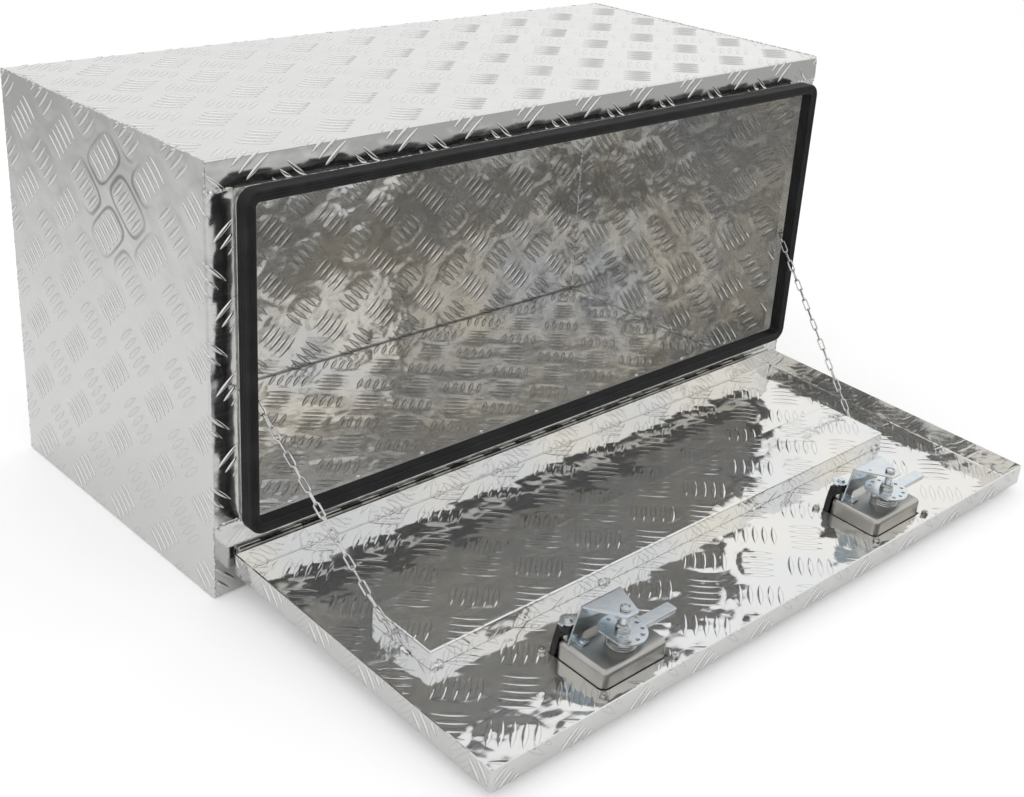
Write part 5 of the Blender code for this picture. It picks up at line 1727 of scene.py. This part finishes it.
def lock_cam(side):
    """The lock's cam plate with its tab and screw, and the keyed plug on the outside."""
    low, high = latch_box("lock_cam", side)
    plug_low, plug_high = latch_box("lock_plug", side)
    centre = middle_of("lock_plug", side)
    radius = high[0] - centre[0]
    half, chamfer, washer_radius, screw_radius = 0.0035, 0.001, 0.0056, 0.0024
    reach = (centre[0] - low[0]) * 0.98
    start = math.asin(half / radius)
    turn = np.linspace(-math.pi + start, math.pi - start, 30)
    tab = [(chamfer - reach, half), (-reach, half - chamfer)]
    tab += [(across, -up) for across, up in reversed(tab)]
    outline = np.concatenate([radius * np.column_stack([np.cos(turn), np.sin(turn)]), tab])
    cam_top = low[2] + 0.0016
    chunks = [
        plate([outline + centre], low[2], cam_top),
        stub(washer_radius, cam_top, cam_top + 0.0006, 28, centre),
        nut(0.0075, 0.0010, cam_top + 0.0005, high[2], centre, 0.4, 36),
        stub(screw_radius, cam_top, high[2] - 0.0006, 16, centre),
    ]
    latch_piece("cam_plate", "lock_cam", side, chunks, body="lock")
    plug, face = 0.0046, plug_low[2]
    keyed = face + 0.003
    keyway = rectangle((-0.0006, -0.0031), (0.0006, 0.0031), 0.0004, 3)
    chunks = [
        plate([circle(plug, 24) + centre, keyway[::-1] + centre], face, keyed),
        stub(plug, keyed, plug_high[2], 24, centre),
    ]
    latch_piece("key_plug", "lock_plug", side, chunks, body="lock")


def bracket(side):
    """The folded bracket: an arched wall, a nose plate over the shaft with a bend, and two feet."""
    low, high = latch_box("latch_bracket", side)
    wall = settings("latch").bracket_sheet
    front, bend = low[1] + wall, wall * 1.2
    left, right = -0.031, high[0] - 0.004
    arch_left, arch_right, arch_top, nose_half = -0.024, 0.011, 0.0275, 0.0085
    corners = [
        (low[0], low[2]), (arch_left, low[2]), (arch_left, arch_top), (arch_right, arch_top),
        (arch_right, low[2]), (high[0], low[2]), (right, high[2] - bend), (left, high[2] - bend),
    ]
    radii = [0.0008, 0.0008, 0.003, 0.003, 0.0008, 0.0008, 0.0006, 0.0006]
    chunks = [standing(rounded(corners, radii, 5), low[1], front)]
    corners = [(left, low[1] + bend), (right, low[1] + bend)]
    corners += [(nose_half, high[1]), (-nose_half, high[1])]
    outline = rounded(corners, [0.0006, 0.0006, 0.004, 0.004], 6)
    shaft = shaft_place(side)
    hole = circle(settings("latch").shaft_radius + SEAT_GAP, 24, shaft)
    slot = circle(0.0016, 12, (shaft[0] - 0.017, shaft[1] - 0.016))
    chunks.append(plate([outline, hole[::-1], slot[::-1]], high[2] - wall, high[2]))
    turn = np.linspace(0.0, QUARTER, 7)
    centre = np.array([low[1] + bend, high[2] - bend])
    outer = centre + bend * np.column_stack([-np.cos(turn), np.sin(turn)])
    inner = centre + (outer - centre) * max(bend - wall, 0.0002) / bend
    section = np.concatenate([outer, inner[::-1]])
    chunks.append(stacked([np.insert(section, 0, x, axis=1) for x in (left, right)]))
    sole = low[2] + wall
    for x in (-0.0295, 0.0215):
        foot = rectangle((x - 0.0058, low[1] + 0.0002), (x + 0.0058, front + 0.0095), 0.002, 4)
        place = (x, front + 0.0055)
        chunks.append(plate([foot, circle(0.0014, 12, place)[::-1]], low[2], sole))
        rivet = [(0.0, sole + 0.0013), (0.0016, sole + 0.0011), (0.0028, sole + 0.0004)]
        rivet += [(0.0028, sole - 0.0004), (0.0, sole - 0.0004)]
        chunks.append(turned(rivet, 18, place))
    latch_piece("bracket_sheet", "latch_bracket", side, chunks)


def spring(side):
    """The return spring: a helix round the shaft, at a steady rise."""
    low, high = latch_box("latch_spring", side)
    wire, turns = settings("latch").spring_wire, settings("latch").spring_turns
    radius = (high[0] - low[0] - wire) / 2 * 0.98
    steps = math.ceil(turns * 28)
    angle = np.linspace(0.0, turns * math.tau, steps + 1)
    height = np.linspace(low[2] + wire / 2, high[2] - wire / 2, steps + 1)
    cos, sin, flat = np.cos(angle), np.sin(angle), np.zeros(len(angle))
    shaft = shaft_place(side)
    line = np.column_stack([shaft[0] + radius * cos, shaft[1] + radius * sin, height])
    outward = np.column_stack([cos, sin, flat])
    rise = (high[2] - low[2] - wire) / (turns * math.tau)
    tangent = np.column_stack([-radius * sin, radius * cos, flat + rise])
    tangent /= np.linalg.norm(tangent, axis=1)[:, None]
    chunks = [tube(line, outward, np.cross(tangent, outward), wire / 2, 10, False)]
    latch_piece(
        "return_spring", "latch_spring", side, chunks, "spring_wire_steel"
    )


def shaft_rod(side):
    """The shaft: plain below, threaded above, with a tang for the handle's pin."""
    latch = settings("latch")
    place, radius = shaft_place(side), latch.shaft_radius
    low, high = latch_box("latch_shaft", side)
    tang = rectangle((-0.003, low[2]), (0.003, 0.0186), 0.0012, 4)
    points, faces = standing(tang, -0.0048, 0.0048, 0.0005)
    plain = [(0.0, 0.0155), (radius, 0.0160), (radius, 0.034), (0.0, 0.034)]
    chunks = [
        (points + [place[0], place[1], 0.0], faces),
        turned(plain, 28, place),
        threaded(radius, 0.033, high[2] - 0.0003, latch.thread_pitch, 0.0005, place, 24),
    ]
    latch_piece("shaft_rod", "latch_shaft", side, chunks, body="latch_turn")


def disc(side):
    """The round plate, cut flat on one side, with its ring of holes."""
    latch = settings("latch")
    low, high = latch_box("latch_disc", side)
    place = shaft_place(side)
    flat = low[0] - place[0]
    outline = circle(high[0] - place[0], 96)
    outline[:, 0] = np.maximum(outline[:, 0], flat)
    holes = [circle(latch.shaft_radius + SEAT_GAP, 24)]
    for centre in circle(latch.disc_ring, latch.disc_holes):
        if centre[0] > flat + 2 * latch.disc_hole:
            holes.append(circle(latch.disc_hole, 18, centre))
    outlines = [outline + place] + [hole[::-1] + place for hole in holes]
    chunks = [plate(outlines, low[2], high[2])]
    latch_piece("cam_disc", "latch_disc", side, chunks, body="latch_turn")


def blade(side):
    """The tongue: a web on the shaft, and two walls that taper towards its tip."""
    low, high = latch_box("latch_blade", side)
    place, wall = shaft_place(side), settings("latch").blade_sheet
    half = (high[1] - low[1]) / 2
    outlines = [rectangle(low[:2], high[:2], 0.002, 5), circle(0.0043, 20, place)[::-1]]
    chunks = [plate(outlines, high[2] - wall, high[2], 0.0004)]
    start, tip, top = place[0] + 0.0215, high[0], high[2] - 0.0006
    corners = [(start, top), (tip - 0.0008, top), (tip - 0.0025, low[2]), (start + 0.006, low[2])]
    outline = rounded(corners, [0.0003, 0.0003, 0.0012, 0.0012], 4)
    for near in (place[1] - half, place[1] + half - wall):
        chunks.append(standing(outline, near, near + wall))
    latch_piece("tongue", "latch_blade", side, chunks, body="latch_turn")


def nuts(side):
    """A washer and two nuts locked together on the round plate, and the nut on the bracket."""
    latch = settings("latch")
    low, high = latch_box("latch_nuts", side)
    place, hole, apart = shaft_place(side), latch.shaft_radius - 0.0002, 0.0001
    seat, washer_radius = low[2] + 0.001, 0.0078
    middle = (seat + high[2]) / 2
    chunks = [
        washer(hole, washer_radius, low[2], seat, 36, place),
        nut(latch.nut_flats, hole, seat, middle - apart, place),
        nut(latch.nut_flats, hole, middle + apart, high[2], place, 0.45),
    ]
    latch_piece("lock_nuts", "latch_nuts", side, chunks, "bright_steel", "latch_turn")
    low, high = latch_box("shaft_top_nut", side)
    chunks = [nut(latch.top_nut_flats, hole, low[2], high[2], place, 0.2)]
    latch_piece("top_nut", "shaft_top_nut", side, chunks, "bright_steel", "latch_turn")


def t_handle(side):
    """The T-handle, forked round the shaft's tang, and its pin."""
    low, high = latch_box("t_handle", side)
    pivot_low, pivot_high = latch_box("handle_pin", side)
    place, pivot = shaft_place(side), (pivot_low + pivot_high) / 2
    stem, bar = pivot_high[0] - pivot[0], (high[0] - low[0]) / 2
    tip, end = low[1] - place[1], high[1] - place[1]
    neck = tip + settings("latch").grip_width
    fork, crotch = 0.0033, -0.008
    right = [(bar, tip), (bar, neck), (stem, neck), (stem, end), (fork, end), (fork, crotch)]
    radii = [0.004, 0.0045, 0.0035, 0.0016, 0.0008, 0.0012]
    corners = [(-bar, tip), *right, *((-across, up) for across, up in right[:0:-1])]
    outline = rounded(corners, [radii[0], *radii, *radii[:0:-1]], 6) + place
    chunks = [plate([outline], low[2], high[2], 0.0014)]
    latch_piece("folding_handle", "t_handle", side, chunks, body="handle")
    line = np.tile(pivot, (3, 1))
    line[:, 0] = np.linspace(pivot_low[0], pivot_high[0], 3)
    ways = [np.tile(way, (3, 1)) for way in ([0.0, 1.0, 0.0], [0.0, 0.0, 1.0])]
    chunks = [tube(line, *ways, (pivot_high - pivot_low)[2] / 2, 16, False)]
    latch_piece("handle_pivot", "handle_pin", side, chunks, "bright_steel", "handle")


class TOOLBOX_OT_latches(bpy.types.Operator):
    """Build both latches"""

    bl_idname = "toolbox.latches"
    bl_label = "Latches"

    def execute(self, context):
        pieces = (dish, corner_screws, lock_body, lock_cam, bracket, spring)
        pieces += (shaft_rod, disc, blade, nuts, t_handle)
        for side, _ in SIDES:
            for piece in pieces:
                piece(side)
        return {"FINISHED"}


# The stage


CAMERA_PLACE = (-1.08979, -1.26051, 0.82400)
CAMERA_AZIMUTH = 0.779743
CAMERA_DIP = 0.397306
CAMERA_ROLL = 0.067148
FOCAL_PIXELS = 1411.275
CENTRE_PIXEL = (524.98, 324.29)
PICTURE = (1024, 797)
SENSOR = 36.0


def studio_camera():
    """The camera where the picture was taken from, with the shift that its framing needs."""
    data = bpy.data.cameras.new("studio_camera")
    camera = bpy.data.objects.new("studio_camera", data)
    bpy.context.scene.collection.objects.link(camera)
    cos, sin = math.cos(CAMERA_AZIMUTH), math.sin(CAMERA_AZIMUTH)
    cos_dip, sin_dip = math.cos(CAMERA_DIP), math.sin(CAMERA_DIP)
    ahead = Vector((sin * cos_dip, cos * cos_dip, -sin_dip))
    level = Vector((cos, -sin, 0.0))
    upright = level.cross(ahead)
    right = level * math.cos(CAMERA_ROLL) + upright * math.sin(CAMERA_ROLL)
    axes = (right, right.cross(ahead), -ahead, Vector(CAMERA_PLACE))
    rows = [tuple(axis[n] for axis in axes) for n in range(3)]
    camera.matrix_world = Matrix((*rows, (0.0, 0.0, 0.0, 1.0)))
    data.sensor_width = SENSOR
    data.lens = FOCAL_PIXELS / PICTURE[0] * SENSOR
    data.shift_x = (PICTURE[0] / 2 - CENTRE_PIXEL[0]) / PICTURE[0]
    data.shift_y = (CENTRE_PIXEL[1] - PICTURE[1] / 2) / PICTURE[0]
    bpy.context.scene.camera = camera


def floor_sheet():
    """A wide flat floor, as far under the box as its bars stand out."""
    reach, depth = 30.0, settings("studio").floor_drop
    x, y = np.meshgrid([-reach, reach], [-reach, reach])
    points = np.stack([x, y, np.full_like(x, -depth)], axis=-1).reshape(-1, 3)
    as_object("studio_floor", points, grid_faces(2, 2), ["studio_floor"], turn=False)


def studio_world():
    """A surround that the camera sees as plain white: dimmer in front, behind and overhead."""
    studio = settings("studio")
    world = bpy.data.worlds.new("studio_world")
    world.use_nodes = True
    bpy.context.scene.world = world
    make = Nodes(world.node_tree)
    way = make.add("ShaderNodeTexCoord", output=0)
    front, up, behind = (
        make.vector("DOT_PRODUCT", way, towards, output=1)
        for towards in ((0.66, -0.75, 0.0), (0.0, 0.0, 1.0), (-0.5, 0.86, 0.0))
    )
    white = (1.0, 1.0, 1.0)
    low_front = make.times(make.ramp(front, 0.30, 0.90), make.ramp(up, 0.34, 0.14))
    tone = make.mix(make.ramp(behind, 0.0, 0.5), white, [studio.backdrop] * 3)
    tone = make.mix(low_front, tone, studio.room)
    tone = make.mix(make.ramp(up, 0.72, 0.98), tone, studio.ceiling)
    rays = make.add("ShaderNodeLightPath", output=0)
    strength = make.ramp(rays, 0.0, 1.0, studio.world, 1.0, smooth=False)
    background = {"Color": make.mix(rays, tone, white), "Strength": strength}
    make.fill(make.tree.nodes["Background"], background)


def softbox(name, place, aim, size, power):
    """A soft area light."""
    data = bpy.data.lights.new(name, "AREA")
    data.shape = "RECTANGLE"
    data.size, data.size_y = size
    data.energy = power
    light = bpy.data.objects.new(name, data)
    light.location = place
    light.rotation_mode = "QUATERNION"
    light.rotation_quaternion = (Vector(aim) - Vector(place)).to_track_quat("-Z", "Y")
    bpy.context.scene.collection.objects.link(light)


class TOOLBOX_OT_stage(bpy.types.Operator):
    """Set the floor, the light and the camera"""

    bl_idname = "toolbox.stage"
    bl_label = "Stage"

    def execute(self, context):
        context.scene.view_settings.view_transform = "Standard"
        studio_camera()
        floor_sheet()
        studio_world()
        power = settings("studio").key
        softbox("key_softbox", (-0.6, 0.2, 2.6), (0.0, -0.1, 0.2), (2.2, 1.6), power)
        return {"FINISHED"}


class TOOLBOX_PT_panel(bpy.types.Panel):
    """The tool box's sizes, colours and pieces"""

    bl_label = "Tool box"
    bl_idname = "TOOLBOX_PT_panel"
    bl_space_type = "VIEW_3D"
    bl_region_type = "UI"
    bl_category = "Tool box"

    def draw(self, context):
        layout = self.layout
        for operator in OPERATORS:
            layout.operator(operator.bl_idname)
        for name, group in GROUPS.items():
            box = layout.box()
            box.label(text=group.__doc__)
            for field in group.__annotations__:
                box.prop(settings(name), field)


OPERATORS = (
    TOOLBOX_OT_sheets,
    TOOLBOX_OT_tread,
    TOOLBOX_OT_welds,
    TOOLBOX_OT_opening,
    TOOLBOX_OT_hinge,
    TOOLBOX_OT_door,
    TOOLBOX_OT_chains,
    TOOLBOX_OT_latches,
    TOOLBOX_OT_stage,
)


def register():
    for cls in (*GROUPS.values(), *OPERATORS, TOOLBOX_PT_panel):
        bpy.utils.register_class(cls)
    for name, group in GROUPS.items():
        setattr(bpy.types.Scene, f"box_{name}", PointerProperty(type=group))


def unregister():
    for name in GROUPS:
        delattr(bpy.types.Scene, f"box_{name}")
    for cls in (TOOLBOX_PT_panel, *reversed(OPERATORS), *reversed(GROUPS.values())):
        bpy.utils.unregister_class(cls)


def main():
    """Builds everything in order."""
    register()
    for name in ("Cube", "Light", "Camera"):
        if name in bpy.data.objects:
            bpy.data.objects.remove(bpy.data.objects[name])
    for operator in OPERATORS:
        group, name = operator.bl_idname.split(".")
        getattr(getattr(bpy.ops, group), name)()


if __name__ == "__main__":
    main()
